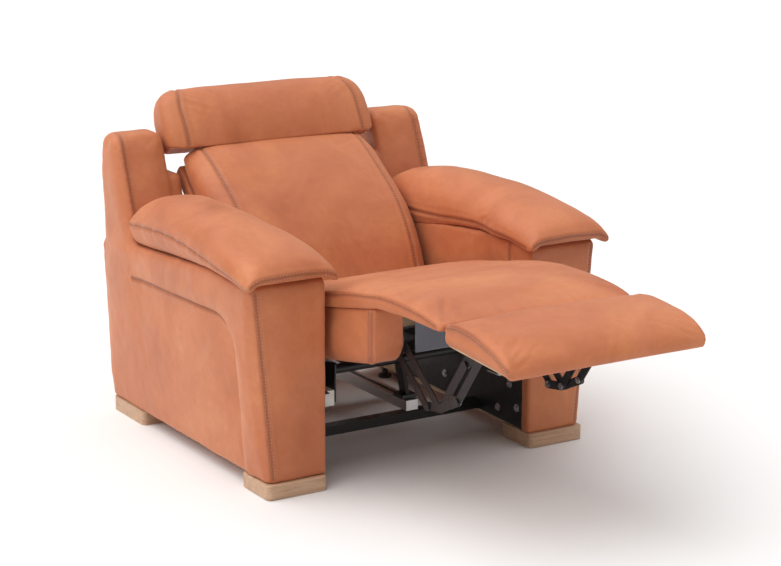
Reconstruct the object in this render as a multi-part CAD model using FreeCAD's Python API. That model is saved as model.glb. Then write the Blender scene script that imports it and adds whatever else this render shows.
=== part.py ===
import FreeCAD, Part
import math
import os

# Recliner armchair with its footrest out, its seat slid forward and its back leaned over.
# Millimetres. +X is to the right as seen from the front, -Y is the front, +Z is up, and Z = 0 is the floor.
# Every shape is drawn with Y = 0 at the front of the arms. At the end all of them are moved together along Y,
# so that the origin is at the bottom centre of the bounding box.
# "left" is the -X side and "right" is the +X side.

V = FreeCAD.Vector
SIDES = {"left": -1, "right": 1}

# ---- driving dimensions -------------------------------------------------------------------------------------

# Arms
ARM_INNER_X = 320.0
ARM_FOOT_X = 490.0
ARM_LEAN = 0.09
ARM_TAPER_X = 560.0
ARM_TAPER = 0.065
ARM_BOTTOM_Z = 40.0
ARM_TOP_Z = 562.0
ARM_SLOPE_Y = 250.0
ARM_SLOPE = 0.084
ARM_REAR_Y = 940.0
ARM_REAR_TOP_Y = 985.0
BOARD_T = 15.0
PADDING = 38.0

# Wings
WING_INNER_X = 342.0
WING_FRONT_Y = 756.0
WING_RAKE = 0.383
WING_TOP_Z = 808.0
WING_PAD_X = 308.0
WING_PAD_TOP_Z = 692.0

# Arm pillows
PILLOW_INNER_X = 302.0
PILLOW_REAR_INNER_X = 306.0
PILLOW_OUTER_X = 556.0
PILLOW_REAR_OUTER_X = 503.0
PILLOW_FRONT_Y = -30.0
PILLOW_REAR_Y = 782.0
PILLOW_BOTTOM_Z = 563.0
PILLOW_TOP_Z = 682.0

# Base
PLATE_T = 4.0
TRACK_Z = 220.0
TRACK_HEIGHT = 48.0
TRACK_DEPTH = 30.0
TRACK_WALL = 3.0
BASE_PLATE_X = ARM_INNER_X - PLATE_T
RAIL_Y = 262.0

# Seat
SEAT_PITCH = math.radians(11.0)
SEAT_FRONT_Y = -190.0
SEAT_REAR_Y = 430.0
SIDE_INNER_X = 196.0
SIDE_OUTER_X = 286.0
SIDE_TOP_Z = 515.0
SIDE_DEPTH = 142.0
CUSHION_T = 48.0
CUSHION_HALF_W = 296.0

# Footrest
FOLD_Y = -258.0
FOLD_Z = 545.0
PAD_HALF_W = 283.0
CHAISE_FRONT_Y = -474.0
PAD_REAR_Y = -479.0
PAD_FRONT_Y = -760.0
PAD_TOP_Z = 541.0
PAD_T = 50.0
PAD_SLOPE = math.radians(4.0)

# Footrest linkage, as (Y, Z) pivots. The pivots make two parallelograms, so that the footrest turns about the
# fold line of the chaise pad.
PIVOT_A = (-160.0, 412.0)
PIVOT_F = (-425.0, 415.0)
GUIDE_OFFSET = (58.0, -9.0)
FRONT_OFFSET = (-72.0, 34.0)
LINK_T = 4.0
LINK_GAP = 2.0
LINK_HALF_W = 11.0
PIN_R = 5.0
PIN_CLEARANCE = 0.06

# Backrest
RECLINE_Y = 520.0
RECLINE_Z = 385.0
SHAFT_R = 8.0
BACK_LEAN = math.radians(47.0)
BACK_HALF_W = 300.0
BACK_HEIGHT = 496.0
HEADREST_U = 500.0
HEADREST_W = 5.0
HEADREST_LEAN = math.radians(35.0)
HEADREST_HEIGHT = 192.0
HEADREST_HALF_W = 336.0

# ---- helpers ------------------------------------------------------------------------------------------------


def rounded_outline(points, radii):
    """Closed list of edges in a plane: straight runs joined by arcs of the given radius at each corner."""
    count = len(points)
    if not isinstance(radii, (list, tuple)):
        radii = [radii] * count
    starts = []
    ends = []
    middles = []
    for i, corner in enumerate(points):
        before = (points[i - 1] - corner).normalize()
        after = (points[(i + 1) % count] - corner).normalize()
        if radii[i] <= 0:
            starts.append(corner)
            ends.append(corner)
            middles.append(None)
            continue
        half = before.getAngle(after) / 2
        reach = radii[i] / math.tan(half)
        inward = (before + after).normalize()
        centre = corner + inward * (radii[i] / math.sin(half))
        starts.append(corner + before * reach)
        ends.append(corner + after * reach)
        middles.append(centre - inward * radii[i])
    edges = []
    for i in range(count):
        if middles[i] is not None:
            edges.append(Part.Arc(starts[i], middles[i], ends[i]).toShape())
        nxt = (i + 1) % count
        if (starts[nxt] - ends[i]).Length > 1e-4:
            edges.append(Part.LineSegment(ends[i], starts[nxt]).toShape())
    return edges


def prism(points, radii, direction):
    face = Part.Face(Part.Wire(rounded_outline(points, radii)))
    return face.extrude(direction)


def prism_yz(points, x0, x1, radii=0.0):
    """Prism along X with an outline of (y, z) points."""
    low, high = min(x0, x1), max(x0, x1)
    return prism([V(low, y, z) for y, z in points], radii, V(high - low, 0, 0))


def prism_xz(points, y0, y1, radii=0.0):
    """Prism along Y with an outline of (x, z) points."""
    return prism([V(x, y0, z) for x, z in points], radii, V(0, y1 - y0, 0))


def prism_xy(points, z0, z1, radii=0.0):
    """Prism along Z with an outline of (x, y) points."""
    return prism([V(x, y, z0) for x, y in points], radii, V(0, 0, z1 - z0))


def box(x0, x1, y0, y1, z0, z1):
    low = V(min(x0, x1), min(y0, y1), min(z0, z1))
    return Part.makeBox(abs(x1 - x0), abs(y1 - y0), abs(z1 - z0), low)


def rod_x(y, z, radius, x0, x1):
    low, high = min(x0, x1), max(x0, x1)
    return Part.makeCylinder(radius, high - low, V(low, y, z), V(1, 0, 0))


def rod_y(x, z, radius, y0, y1):
    return Part.makeCylinder(radius, y1 - y0, V(x, y0, z), V(0, 1, 0))


def rod_z(x, y, radius, z0, z1):
    return Part.makeCylinder(radius, z1 - z0, V(x, y, z0), V(0, 0, 1))


def group(shapes):
    return Part.makeCompound(shapes)


def both_sides(make):
    """One node with the same piece on the left and on the right."""
    return group([make(side) for side in SIDES.values()])


def plus(a, b):
    return (a[0] + b[0], a[1] + b[1])


def minus(a, b):
    return (a[0] - b[0], a[1] - b[1])


def strip(a, b, half_width, x0, x1):
    """Flat link of constant width with round ends centred on the (y, z) points a and b."""
    length = math.dist(a, b)
    angle = math.degrees(math.atan2(b[1] - a[1], b[0] - a[0]))
    low, high = min(x0, x1), max(x0, x1)
    bar = Part.makeBox(high - low, length, 2 * half_width, V(low, 0, -half_width))
    bar = bar.fuse(rod_x(0, 0, half_width, low, high)).fuse(rod_x(length, 0, half_width, low, high))
    bar.rotate(V(0, 0, 0), V(1, 0, 0), angle)
    bar.translate(V(0, a[0], a[1]))
    return bar


def link(points, holes, x0, x1):
    """Bent flat link through the (y, z) points, with a pin hole at each point of holes."""
    body = strip(points[0], points[1], LINK_HALF_W, x0, x1)
    for a, b in zip(points[1:], points[2:]):
        body = body.fuse(strip(a, b, LINK_HALF_W, x0, x1))
    body = body.removeSplitter()
    for y, z in holes:
        body = body.cut(rod_x(y, z, PIN_R + PIN_CLEARANCE, x0 - 1, x1 + 1))
    return body


def back_point(u, w):
    """(y, z) of a point at height u along the reclined back and w in front of its hinge plane."""
    y = RECLINE_Y + u * math.sin(BACK_LEAN) - w * math.cos(BACK_LEAN)
    z = RECLINE_Z + u * math.cos(BACK_LEAN) + w * math.sin(BACK_LEAN)
    return (y, z)


def head_point(u, w):
    """(y, z) of a point at height u along the headrest and w in front of its hinge plane."""
    y0, z0 = back_point(HEADREST_U, HEADREST_W)
    y = y0 + u * math.sin(HEADREST_LEAN) - w * math.cos(HEADREST_LEAN)
    z = z0 + u * math.cos(HEADREST_LEAN) + w * math.sin(HEADREST_LEAN)
    return (y, z)


def seat_z(y, height=0.0):
    """Height at y of a plane parallel to the pitched seat, above the top of the seat sides."""
    return SIDE_TOP_Z + height - (y - SEAT_FRONT_Y) * math.tan(SEAT_PITCH)


def arm_outer_x(z):
    return ARM_FOOT_X + (z - ARM_BOTTOM_Z) * ARM_LEAN


# ---- arms, wings and feet -----------------------------------------------------------------------------------


def arm_top_z(y):
    """Height of the arm's top, which falls towards the wing."""
    return ARM_TOP_Z - max(0.0, y - ARM_SLOPE_Y) * ARM_SLOPE


def inside_taper(side, inset=0.0):
    """Room inside the outer faces, which draw together towards the rear."""
    front = ARM_TAPER_X + 100 * ARM_TAPER - inset
    rear = ARM_TAPER_X - 1100 * ARM_TAPER - inset
    return prism_xy([(side * 200, -100), (side * front, -100), (side * rear, 1100), (side * 200, 1100)], 0, 950)


def arm_block(side, inset=0.0):
    """Solid block of the arm, drawn in by inset on its outer, front, rear and top faces."""
    outline = [
        (side * (ARM_INNER_X + BOARD_T), ARM_BOTTOM_Z + inset),
        (side * (ARM_FOOT_X - inset), ARM_BOTTOM_Z + inset),
        (side * (arm_outer_x(ARM_TOP_Z) - inset), ARM_TOP_Z - inset),
        (side * (ARM_INNER_X + BOARD_T), ARM_TOP_Z - inset),
    ]
    round_off = max(1.0, 26.0 - inset)
    block = prism_xz(outline, inset, ARM_REAR_TOP_Y + 15, [0, 6, round_off, 0])
    profile = [
        (0, ARM_BOTTOM_Z),
        (ARM_REAR_Y - inset, ARM_BOTTOM_Z),
        (ARM_REAR_Y + 22 - inset, 330),
        (ARM_REAR_TOP_Y - inset, arm_top_z(ARM_REAR_TOP_Y) - inset),
        (ARM_SLOPE_Y, ARM_TOP_Z - inset),
        (0, ARM_TOP_Z - inset),
    ]
    block = block.common(prism_yz(profile, side * 200, side * 700))
    return block.common(inside_taper(side, inset))


def arm_cover(side):
    """Padded leather skin round the arm, open at the inner board."""
    return arm_block(side).cut(arm_block(side, PADDING))


def arm_frame(side):
    """Timber posts and rails inside the padding."""
    x0 = side * (ARM_INNER_X + BOARD_T)
    x1 = side * (ARM_FOOT_X - PADDING - 2)
    low = ARM_BOTTOM_Z + PADDING
    high = ARM_TOP_Z - PADDING
    rear = ARM_REAR_Y - PADDING
    rear_high = arm_top_z(rear) - PADDING
    bottom = box(x0, x1, PADDING, rear, low, low + 40)
    top = prism_yz(
        [(PADDING, high - 30), (ARM_SLOPE_Y, high - 30), (rear, rear_high - 30),
         (rear, rear_high), (ARM_SLOPE_Y, high), (PADDING, high)],
        x0, x1,
    )
    frame = bottom.fuse(top)
    for y in (PADDING, 420.0, rear - 45):
        frame = frame.fuse(box(x0, x1, y, y + 40, low, high))
    return frame.removeSplitter().common(arm_block(side, PADDING + 0.5))


def arm_inner_board(side):
    rear = ARM_REAR_Y - 4
    outline = [
        (24, ARM_BOTTOM_Z + 2),
        (rear, ARM_BOTTOM_Z + 2),
        (rear, arm_top_z(rear) - 3),
        (ARM_SLOPE_Y, ARM_TOP_Z - 3),
        (24, ARM_TOP_Z - 3),
    ]
    return prism_yz(outline, side * ARM_INNER_X, side * (ARM_INNER_X + BOARD_T), 3.0)


def wing(side):
    """Tall padded rear part of the side; its front face leans back."""
    outline = [
        (side * WING_INNER_X, 480),
        (side * ARM_TAPER_X, 480),
        (side * ARM_TAPER_X, WING_TOP_Z),
        (side * WING_INNER_X, WING_TOP_Z),
    ]
    block = prism_xz(outline, 700, 1010, [0, 0, 0, 30]).common(inside_taper(side))
    front_low = arm_top_z(WING_FRONT_Y) + 0.5
    profile = [
        (WING_FRONT_Y, front_low),
        (ARM_REAR_TOP_Y, arm_top_z(ARM_REAR_TOP_Y) + 0.5),
        (993, 600),
        (990, 725),
        (964, WING_TOP_Z),
        (WING_FRONT_Y + (WING_TOP_Z - front_low) * WING_RAKE, WING_TOP_Z),
    ]
    return block.common(prism_yz(profile, side * 300, side * 700, [0, 0, 60, 60, 34, 34]))


def wing_pad(side):
    """Inner pad of the wing, which fills the gap beside the back cushion, below the headrest."""
    front_low = arm_top_z(WING_FRONT_Y + 14) + 1
    profile = [
        (WING_FRONT_Y + 14, front_low),
        (ARM_REAR_TOP_Y - 4, arm_top_z(ARM_REAR_TOP_Y - 4) + 1),
        (ARM_REAR_TOP_Y - 1, WING_PAD_TOP_Z),
        (WING_FRONT_Y + 14 + (WING_PAD_TOP_Z - front_low) * WING_RAKE, WING_PAD_TOP_Z),
    ]
    return prism_yz(profile, side * WING_PAD_X, side * (WING_INNER_X - 0.5), [0, 0, 16, 16])


def arm_pillow(side):
    """Lens-shaped pad on the arm, with thin edges; its rear end lies against the wing."""
    rear_low = arm_top_z(WING_FRONT_Y) + 1
    profile = [
        (PILLOW_FRONT_Y, PILLOW_BOTTOM_Z),
        (ARM_SLOPE_Y, PILLOW_BOTTOM_Z),
        (WING_FRONT_Y - 4, rear_low),
        (PILLOW_REAR_Y, 598),
        (732, 650),
        (560, PILLOW_TOP_Z),
        (300, PILLOW_TOP_Z),
        (PILLOW_FRONT_Y, 604),
    ]
    radii = [12, 0, 6, 8, 50, 200, 200, 16]
    body = prism_yz(profile, PILLOW_INNER_X - 10, PILLOW_OUTER_X + 10, radii)
    outline = [
        (PILLOW_INNER_X, 500),
        (PILLOW_OUTER_X, 500),
        (PILLOW_OUTER_X, 612),
        (480, PILLOW_TOP_Z + 1),
        (366, PILLOW_TOP_Z + 1),
        (PILLOW_INNER_X, 625),
    ]
    plan = [
        (PILLOW_INNER_X, PILLOW_FRONT_Y),
        (PILLOW_INNER_X, 240),
        (PILLOW_REAR_INNER_X, 380),
        (PILLOW_REAR_INNER_X, PILLOW_REAR_Y + 10),
        (PILLOW_REAR_OUTER_X, PILLOW_REAR_Y + 10),
        (PILLOW_OUTER_X, 100),
        (PILLOW_OUTER_X, PILLOW_FRONT_Y),
    ]
    pillow = body.common(prism_xz(outline, PILLOW_FRONT_Y - 10, PILLOW_REAR_Y + 10, [0, 0, 25, 70, 70, 25]))
    pillow = pillow.common(prism_xy(plan, 490, PILLOW_TOP_Z + 10, [30, 0, 0, 0, 0, 0, 0]))
    return pillow if side > 0 else pillow.mirror(V(0, 0, 0), V(1, 0, 0))


def front_foot(side):
    outline = [
        (side * (ARM_INNER_X - 2), -6),
        (side * (ARM_FOOT_X + 3), -6),
        (side * (ARM_FOOT_X + 3), 138),
        (side * (ARM_INNER_X - 2), 138),
    ]
    foot = prism_xy(outline, 0, ARM_BOTTOM_Z, 14)
    return foot.makeFillet(3, [e for e in foot.Edges if e.BoundBox.ZLength < 0.01])


def rear_foot(side):
    outline = [
        (side * (ARM_INNER_X + 60), 735),
        (side * (ARM_FOOT_X + 3), 735),
        (side * (ARM_FOOT_X + 3), ARM_REAR_Y - 7),
        (side * (ARM_INNER_X + 60), ARM_REAR_Y - 7),
    ]
    return prism_xy(outline, 0, ARM_BOTTOM_Z, 14)


def rear_glide(side):
    pad = rod_z(side * 345, 800, 20, 0, 8)
    return pad.fuse(rod_z(side * 345, 800, 9, 8, ARM_BOTTOM_Z))


# ---- base mechanism -----------------------------------------------------------------------------------------


def base_side_plate(side):
    """Steel plate on the arm's inner board that carries the seat track."""
    outline = [
        (26, 44),
        (640, 60),
        (660, TRACK_Z + 34),
        (60, TRACK_Z + 34),
        (26, 190),
    ]
    return prism_yz(outline, side * BASE_PLATE_X, side * ARM_INNER_X, 12.0)


def seat_track(side):
    """Channel, open towards the middle, in which the slide shoes run."""
    x_out = side * BASE_PLATE_X
    x_in = side * (BASE_PLATE_X - TRACK_DEPTH)
    half = TRACK_HEIGHT / 2
    channel = box(x_out, x_in, 40, 650, TRACK_Z - half, TRACK_Z + half)
    hollow = box(
        side * (BASE_PLATE_X - TRACK_WALL), x_in - side,
        39, 651, TRACK_Z - half + TRACK_WALL, TRACK_Z + half - TRACK_WALL,
    )
    return channel.cut(hollow)


def base_bolts():
    places = [(60, 100), (95, 160), (150, 80), (420, 110), (600, 110)]
    heads = []
    for side in SIDES.values():
        for y, z in places:
            outline = []
            for k in range(6):
                angle = math.radians(60 * k)
                outline.append((y + 8 * math.cos(angle), z + 8 * math.sin(angle)))
            head = prism_yz(outline, side * BASE_PLATE_X, side * (BASE_PLATE_X - 5.5))
            washer = rod_x(y, z, 11, side * BASE_PLATE_X, side * (BASE_PLATE_X - 1.5))
            heads.append(head.fuse(washer).removeSplitter())
    return group(heads)


def cross_rail(y, z, width, height):
    """Rectangular tube between the base side plates."""
    x = BASE_PLATE_X
    outer = box(-x, x, y - width / 2, y + width / 2, z - height / 2, z + height / 2)
    hollow = box(-x, x, y - width / 2 + 2, y + width / 2 - 2, z - height / 2 + 2, z + height / 2 - 2)
    return outer.cut(hollow)


def rear_lower_panel():
    x = ARM_INNER_X - 1
    outline = [(906, 60), (937, 60), (940, 372), (912, 372)]
    return prism_yz(outline, -x, x, [4, 8, 13, 10])


ACTUATOR_Z = 150.0
ACTUATOR_FRONT_Y = 96.0
ACTUATOR_REAR_Y = 640.0
REAR_RAIL_Y = 668.0


def actuator_rail():
    """Guide profile of the linear actuator, with a slot on top for its slider."""
    rail = box(-18, 18, ACTUATOR_FRONT_Y, ACTUATOR_REAR_Y, ACTUATOR_Z - 14, ACTUATOR_Z + 14)
    slot = box(-7, 7, ACTUATOR_FRONT_Y + 12, ACTUATOR_REAR_Y - 12, ACTUATOR_Z - 4, ACTUATOR_Z + 15)
    return rail.cut(slot)


def actuator_motor():
    """Gear housing at the rear end of the rail with the motor hanging under it, on a clevis."""
    housing = prism_yz(
        [(ACTUATOR_REAR_Y, 122), (ACTUATOR_REAR_Y + 84, 122), (ACTUATOR_REAR_Y + 84, 186), (ACTUATOR_REAR_Y, 186)],
        -32, 32, 10,
    )
    return housing.cut(box(-33, 33, REAR_RAIL_Y - 16, REAR_RAIL_Y + 16, 121, 137)).fuse(
        rod_z(0, ACTUATOR_REAR_Y + 66, 18, 70, 124)
    )


def control_box():
    """Transformer and control unit on the inner face of the rear lower panel."""
    return prism_yz([(852, 110), (905, 110), (908, 190), (852, 190)], 110, 230, [8, 0, 0, 8])


def power_inlet():
    """Round low-voltage socket through the rear lower panel."""
    body = rod_y(-200, 110, 14, 900, 944)
    return body.cut(rod_y(-200, 110, 8, 928, 945))


SWITCH_Y = 130.0
SWITCH_Z = 470.0


def switch_plate():
    """Control plate on the inner face of the left arm, with a hole for each of two buttons."""
    x_wall = -ARM_INNER_X
    x_face = -ARM_INNER_X + 7
    plate = prism_yz(
        [(SWITCH_Y - 45, SWITCH_Z - 22), (SWITCH_Y + 45, SWITCH_Z - 22),
         (SWITCH_Y + 45, SWITCH_Z + 22), (SWITCH_Y - 45, SWITCH_Z + 22)],
        x_wall, x_face, 10,
    )
    for offset in (-20, 20):
        plate = plate.cut(rod_x(SWITCH_Y + offset, SWITCH_Z, 11.4, x_wall + 1, x_face + 1))
    return plate


def button(offset):
    return rod_x(SWITCH_Y + offset, SWITCH_Z, 11.0, -ARM_INNER_X + 3.2, -ARM_INNER_X + 9.0)


# ---- seat ---------------------------------------------------------------------------------------------------


def seat_side(side):
    """Upholstered side rail of the seat; its front end is the rounded ear beside the lining."""
    outline = [
        (SEAT_FRONT_Y, seat_z(SEAT_FRONT_Y, -SIDE_DEPTH - 10)),
        (SEAT_REAR_Y, seat_z(SEAT_REAR_Y, -SIDE_DEPTH)),
        (SEAT_REAR_Y, seat_z(SEAT_REAR_Y)),
        (SEAT_FRONT_Y, seat_z(SEAT_FRONT_Y)),
    ]
    return prism_yz(outline, side * SIDE_INNER_X, side * SIDE_OUTER_X, [34, 14, 8, 8])


def seat_cushion():
    """Pad over the whole seat, parallel to the pitched rails, rounded where it meets the backrest."""
    outline = [
        (-196, seat_z(-196, 0.5)),
        (SEAT_REAR_Y + 4, seat_z(SEAT_REAR_Y + 4, 0.5)),
        (SEAT_REAR_Y + 6, seat_z(SEAT_REAR_Y + 6, CUSHION_T - 8)),
        (-60, seat_z(-60, CUSHION_T)),
        (-196, seat_z(-196, CUSHION_T - 16)),
    ]
    return prism_yz(outline, -CUSHION_HALF_W, CUSHION_HALF_W, [10, 8, 14, 60, 12])


def seat_board(y0, y1):
    """Cross board between the seat's side rails."""
    outline = [
        (y0, seat_z(y0, -60)),
        (y1, seat_z(y1, -60)),
        (y1, seat_z(y1, -1)),
        (y0, seat_z(y0, -1)),
    ]
    return prism_yz(outline, -SIDE_INNER_X + 4, SIDE_INNER_X - 4)


def seat_webbing():
    belts = []
    for k in range(6):
        y0 = -90 + k * 78
        outline = [
            (y0, seat_z(y0, -4)),
            (y0 + 50, seat_z(y0 + 50, -4)),
            (y0 + 50, seat_z(y0 + 50, -2)),
            (y0, seat_z(y0, -2)),
        ]
        belts.append(prism_yz(outline, -SIDE_INNER_X, SIDE_INNER_X))
    return group(belts)


def front_lining():
    """Grey non-woven sheet that closes the front of the seat box above the linkage."""
    x = BRACKET_X - 8
    return box(-x, x, SEAT_FRONT_Y + 2, SEAT_FRONT_Y + 4, 388, SIDE_TOP_Z - 2)


LINK_OUTER_X = SIDE_INNER_X - LINK_T - LINK_GAP
LINK_INNER_X = LINK_OUTER_X - LINK_T - LINK_GAP
BRACKET_X = LINK_INNER_X - LINK_T - LINK_GAP
FOLD_TO_A = minus((FOLD_Y, FOLD_Z), PIVOT_A)
PIVOT_B = plus(PIVOT_A, GUIDE_OFFSET)
PIVOT_E = minus(PIVOT_F, FOLD_TO_A)
PIVOT_D = plus(PIVOT_E, GUIDE_OFFSET)
PIVOT_C = plus(PIVOT_E, FRONT_OFFSET)
PIVOT_G = plus(PIVOT_F, FRONT_OFFSET)


def seat_link_plate(side):
    """Steel plate on the inner face of a seat side, with the two upper pivots of the linkage."""
    outline = [
        (-174, 384),
        (-112, 372),
        (60, 372),
        (60, 440),
        (-172, 440),
    ]
    return prism_yz(outline, side * (SIDE_INNER_X - LINK_T), side * SIDE_INNER_X, [10, 12, 8, 8, 10])


def seat_pins(side):
    """Shouldered pins of the main and guide links, on the seat's link plate."""
    pins = []
    for y, z in (PIVOT_A, PIVOT_B):
        shaft = rod_x(y, z, PIN_R, side * (SIDE_INNER_X - LINK_T), side * (LINK_OUTER_X - LINK_T - 1))
        head = rod_x(y, z, 8, side * (LINK_OUTER_X - LINK_T - 0.5), side * (LINK_INNER_X - 1))
        pins.append(shaft.fuse(head))
    return group(pins)


def seat_cross_tube():
    x = SIDE_INNER_X - LINK_T
    tube = rod_x(-30, 418, 13, -x, x)
    return tube.cut(rod_x(-30, 418, 11, -x, x))


CARRIAGE_X = 254.0
SHOE_CENTRES = (92.0, 360.0)
DRIVE_Y = 128.0


def carriage_plate(side):
    """Steel plate under a seat side that reaches down to the track."""
    top_front = (60, seat_z(60, -SIDE_DEPTH - 10))
    outline = [
        (62, TRACK_Z - 16),
        (390, TRACK_Z - 16),
        (396, seat_z(396, -SIDE_DEPTH - 3)),
        (60, top_front[1]),
    ]
    return prism_yz(outline, side * CARRIAGE_X, side * (CARRIAGE_X + PLATE_T), [10, 10, 0, 6])


def slide_shoes():
    """Nylon shoes that run in the tracks, with a neck to the carriage plate."""
    shoes = []
    half = TRACK_HEIGHT / 2 - TRACK_WALL - 0.5
    for side in SIDES.values():
        for y in SHOE_CENTRES:
            x0 = side * (CARRIAGE_X + PLATE_T)
            x1 = side * (BASE_PLATE_X - TRACK_WALL - 1.5)
            shoes.append(box(x0, x1, y - 28, y + 28, TRACK_Z - half, TRACK_Z + half))
    return group(shoes)


def drive_bracket():
    """Tube between the carriage plates, and the arm and slider that the actuator pushes."""
    tube = rod_x(DRIVE_Y + 40, 262, 13, -CARRIAGE_X, CARRIAGE_X)
    arm = prism_yz(
        [(DRIVE_Y - 14, 168), (DRIVE_Y + 20, 168), (DRIVE_Y + 56, 262), (DRIVE_Y + 24, 276)],
        -5, 5, [3, 3, 10, 10],
    )
    slider = box(-22, 22, DRIVE_Y - 20, DRIVE_Y + 26, 165, 176)
    tongue = box(-6, 6, DRIVE_Y - 14, DRIVE_Y + 20, 148, 166)
    return tube.fuse([arm, slider, tongue]).removeSplitter()


RECLINE_BRACKET_X = BACK_HALF_W + 7.0


def recline_bracket(side):
    """Plate beside the backrest that carries the recline shaft, on a spacer on the seat side."""
    x0 = side * RECLINE_BRACKET_X
    x1 = side * (RECLINE_BRACKET_X + PLATE_T)
    outline = [
        (340, seat_z(340, -SIDE_DEPTH + 12)),
        (430, seat_z(430, -SIDE_DEPTH + 12)),
        (RECLINE_Y + 18, RECLINE_Z - 24),
        (RECLINE_Y + 18, RECLINE_Z + 18),
        (RECLINE_Y - 22, RECLINE_Z + 12),
        (420, seat_z(420, -10)),
        (340, seat_z(340, -16)),
    ]
    plate = prism_yz(outline, x0, x1, [8, 20, 16, 16, 14, 14, 8])
    hole = rod_x(RECLINE_Y, RECLINE_Z, SHAFT_R, x0 - side * 2, x1 + side * 2)
    spacer = box(side * SIDE_OUTER_X, x0, 350, 410, seat_z(380, -90), seat_z(380, -60))
    return plate.cut(hole).fuse(spacer)


def recline_shaft():
    x = RECLINE_BRACKET_X + PLATE_T
    return rod_x(RECLINE_Y, RECLINE_Z, SHAFT_R, -x, x)


def recline_motor_housing(clearance):
    """Gear motor inside the foot of the backrest, which turns itself round the fixed shaft."""
    c = clearance
    corners = [(-48 - c, -34 - c), (-48 - c, 34 + c), (30 + c, 34 + c), (30 + c, -34 - c)]
    return prism_yz([back_point(u, w) for u, w in corners], -70 - c, 70 + c, 6)


def recline_motor():
    return recline_motor_housing(0.0).cut(rod_x(RECLINE_Y, RECLINE_Z, SHAFT_R + PIN_CLEARANCE, -90, 90))


# ---- footrest -----------------------------------------------------------------------------------------------


def pad_z(y, depth=0.0):
    """Height at y of the sloping top of the footrest pad, less depth."""
    return PAD_TOP_Z - depth + (y - PAD_REAR_Y) * math.tan(PAD_SLOPE)


def board_outline(top_clearance, bottom_clearance):
    """Outline of the board under the footrest pad; the pad's pocket is the same with some clearance."""
    y0 = PAD_FRONT_Y + 20
    y1 = PAD_REAR_Y - 12
    low = PAD_T + bottom_clearance
    high = PAD_T - 12 - top_clearance
    return [(y0, pad_z(y0, low)), (y1, pad_z(y1, low)), (y1, pad_z(y1, high)), (y0, pad_z(y0, high))]


def footrest_pad():
    outline = [
        (PAD_FRONT_Y, pad_z(PAD_FRONT_Y, PAD_T - 2)),
        (PAD_REAR_Y, pad_z(PAD_REAR_Y, PAD_T)),
        (PAD_REAR_Y, pad_z(PAD_REAR_Y, 2)),
        (PAD_REAR_Y - 90, pad_z(PAD_REAR_Y - 90, -8)),
        (PAD_FRONT_Y + 70, pad_z(PAD_FRONT_Y + 70, -4)),
        (PAD_FRONT_Y, pad_z(PAD_FRONT_Y, 16)),
    ]
    pad = prism_yz(outline, -PAD_HALF_W, PAD_HALF_W, [8, 8, 12, 60, 50, 16])
    pocket = prism_yz(board_outline(0.0, 4.0), -PAD_HALF_W + 16, PAD_HALF_W - 16)
    return pad.cut(pocket)


def footrest_board():
    return prism_yz(board_outline(0.0, 0.0), -PAD_HALF_W + 16, PAD_HALF_W - 16)


def chaise_pad():
    """Front part of the pad that bridges the seat and the footrest; its rear face leaves room to fold."""
    outline = [
        (FOLD_Y - 46, FOLD_Z - 36),
        (FOLD_Y - 4, FOLD_Z + 2),
        (FOLD_Y - 6, FOLD_Z + 14),
        (-400, FOLD_Z + 12),
        (CHAISE_FRONT_Y, pad_z(CHAISE_FRONT_Y, 2)),
        (CHAISE_FRONT_Y, pad_z(CHAISE_FRONT_Y, 34)),
    ]
    return prism_yz(outline, -PAD_HALF_W, PAD_HALF_W, [6, 2, 4, 40, 8, 6])


def footrest_bracket(side):
    """Bracket under the footrest board with the linkage's two front pivots."""
    x0 = side * BRACKET_X
    x1 = side * (BRACKET_X - LINK_T)
    top = PAD_T
    outline = [
        (PIVOT_F[0] + 6, PIVOT_F[1] - 11),
        (PIVOT_F[0] + 14, PIVOT_F[1] + 8),
        (PAD_REAR_Y + 10, pad_z(PAD_REAR_Y + 10, PAD_T + 4)),
        (PAD_REAR_Y - 14, pad_z(PAD_REAR_Y - 14, top)),
        (-716, pad_z(-716, top)),
        (-716, pad_z(-716, top + 16)),
        (-560, pad_z(-560, top + 22)),
        (PIVOT_G[0] - 12, PIVOT_G[1] - 10),
        (PIVOT_G[0] + 6, PIVOT_G[1] - 13),
    ]
    web = prism_yz(outline, x0, x1, [7, 9, 10, 0, 3, 4, 30, 8, 8])
    flange = prism_yz(
        [(-716, pad_z(-716, top)), (PAD_REAR_Y - 16, pad_z(PAD_REAR_Y - 16, top)),
         (PAD_REAR_Y - 16, pad_z(PAD_REAR_Y - 16, top + 3)), (-716, pad_z(-716, top + 3))],
        side * (BRACKET_X - 26), x0,
    )
    bracket = web.fuse(flange).removeSplitter()
    for y, z in (PIVOT_F, PIVOT_G):
        bracket = bracket.cut(rod_x(y, z, PIN_R + 0.25, x0 + side, x1 - side))
    return bracket


def main_link(side):
    x0 = side * LINK_OUTER_X
    x1 = side * (LINK_OUTER_X - LINK_T)
    return link([PIVOT_A, PIVOT_E, PIVOT_C], [PIVOT_A], min(x0, x1), max(x0, x1))


def guide_link(side):
    x0 = side * LINK_OUTER_X
    x1 = side * (LINK_OUTER_X - LINK_T)
    return link([PIVOT_B, PIVOT_D], [PIVOT_B], min(x0, x1), max(x0, x1))


def middle_link(side):
    x0 = side * LINK_INNER_X
    x1 = side * (LINK_INNER_X - LINK_T)
    body = link([PIVOT_D, PIVOT_E, PIVOT_F], [PIVOT_E], min(x0, x1), max(x0, x1))
    y, z = PIVOT_D
    return body.cut(rod_x(y, z, PIN_R + 0.25, x0 + side, x1 - side))


def front_link(side):
    x0 = side * LINK_INNER_X
    x1 = side * (LINK_INNER_X - LINK_T)
    return link([PIVOT_C, PIVOT_G], [PIVOT_C], min(x0, x1), max(x0, x1))


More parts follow.
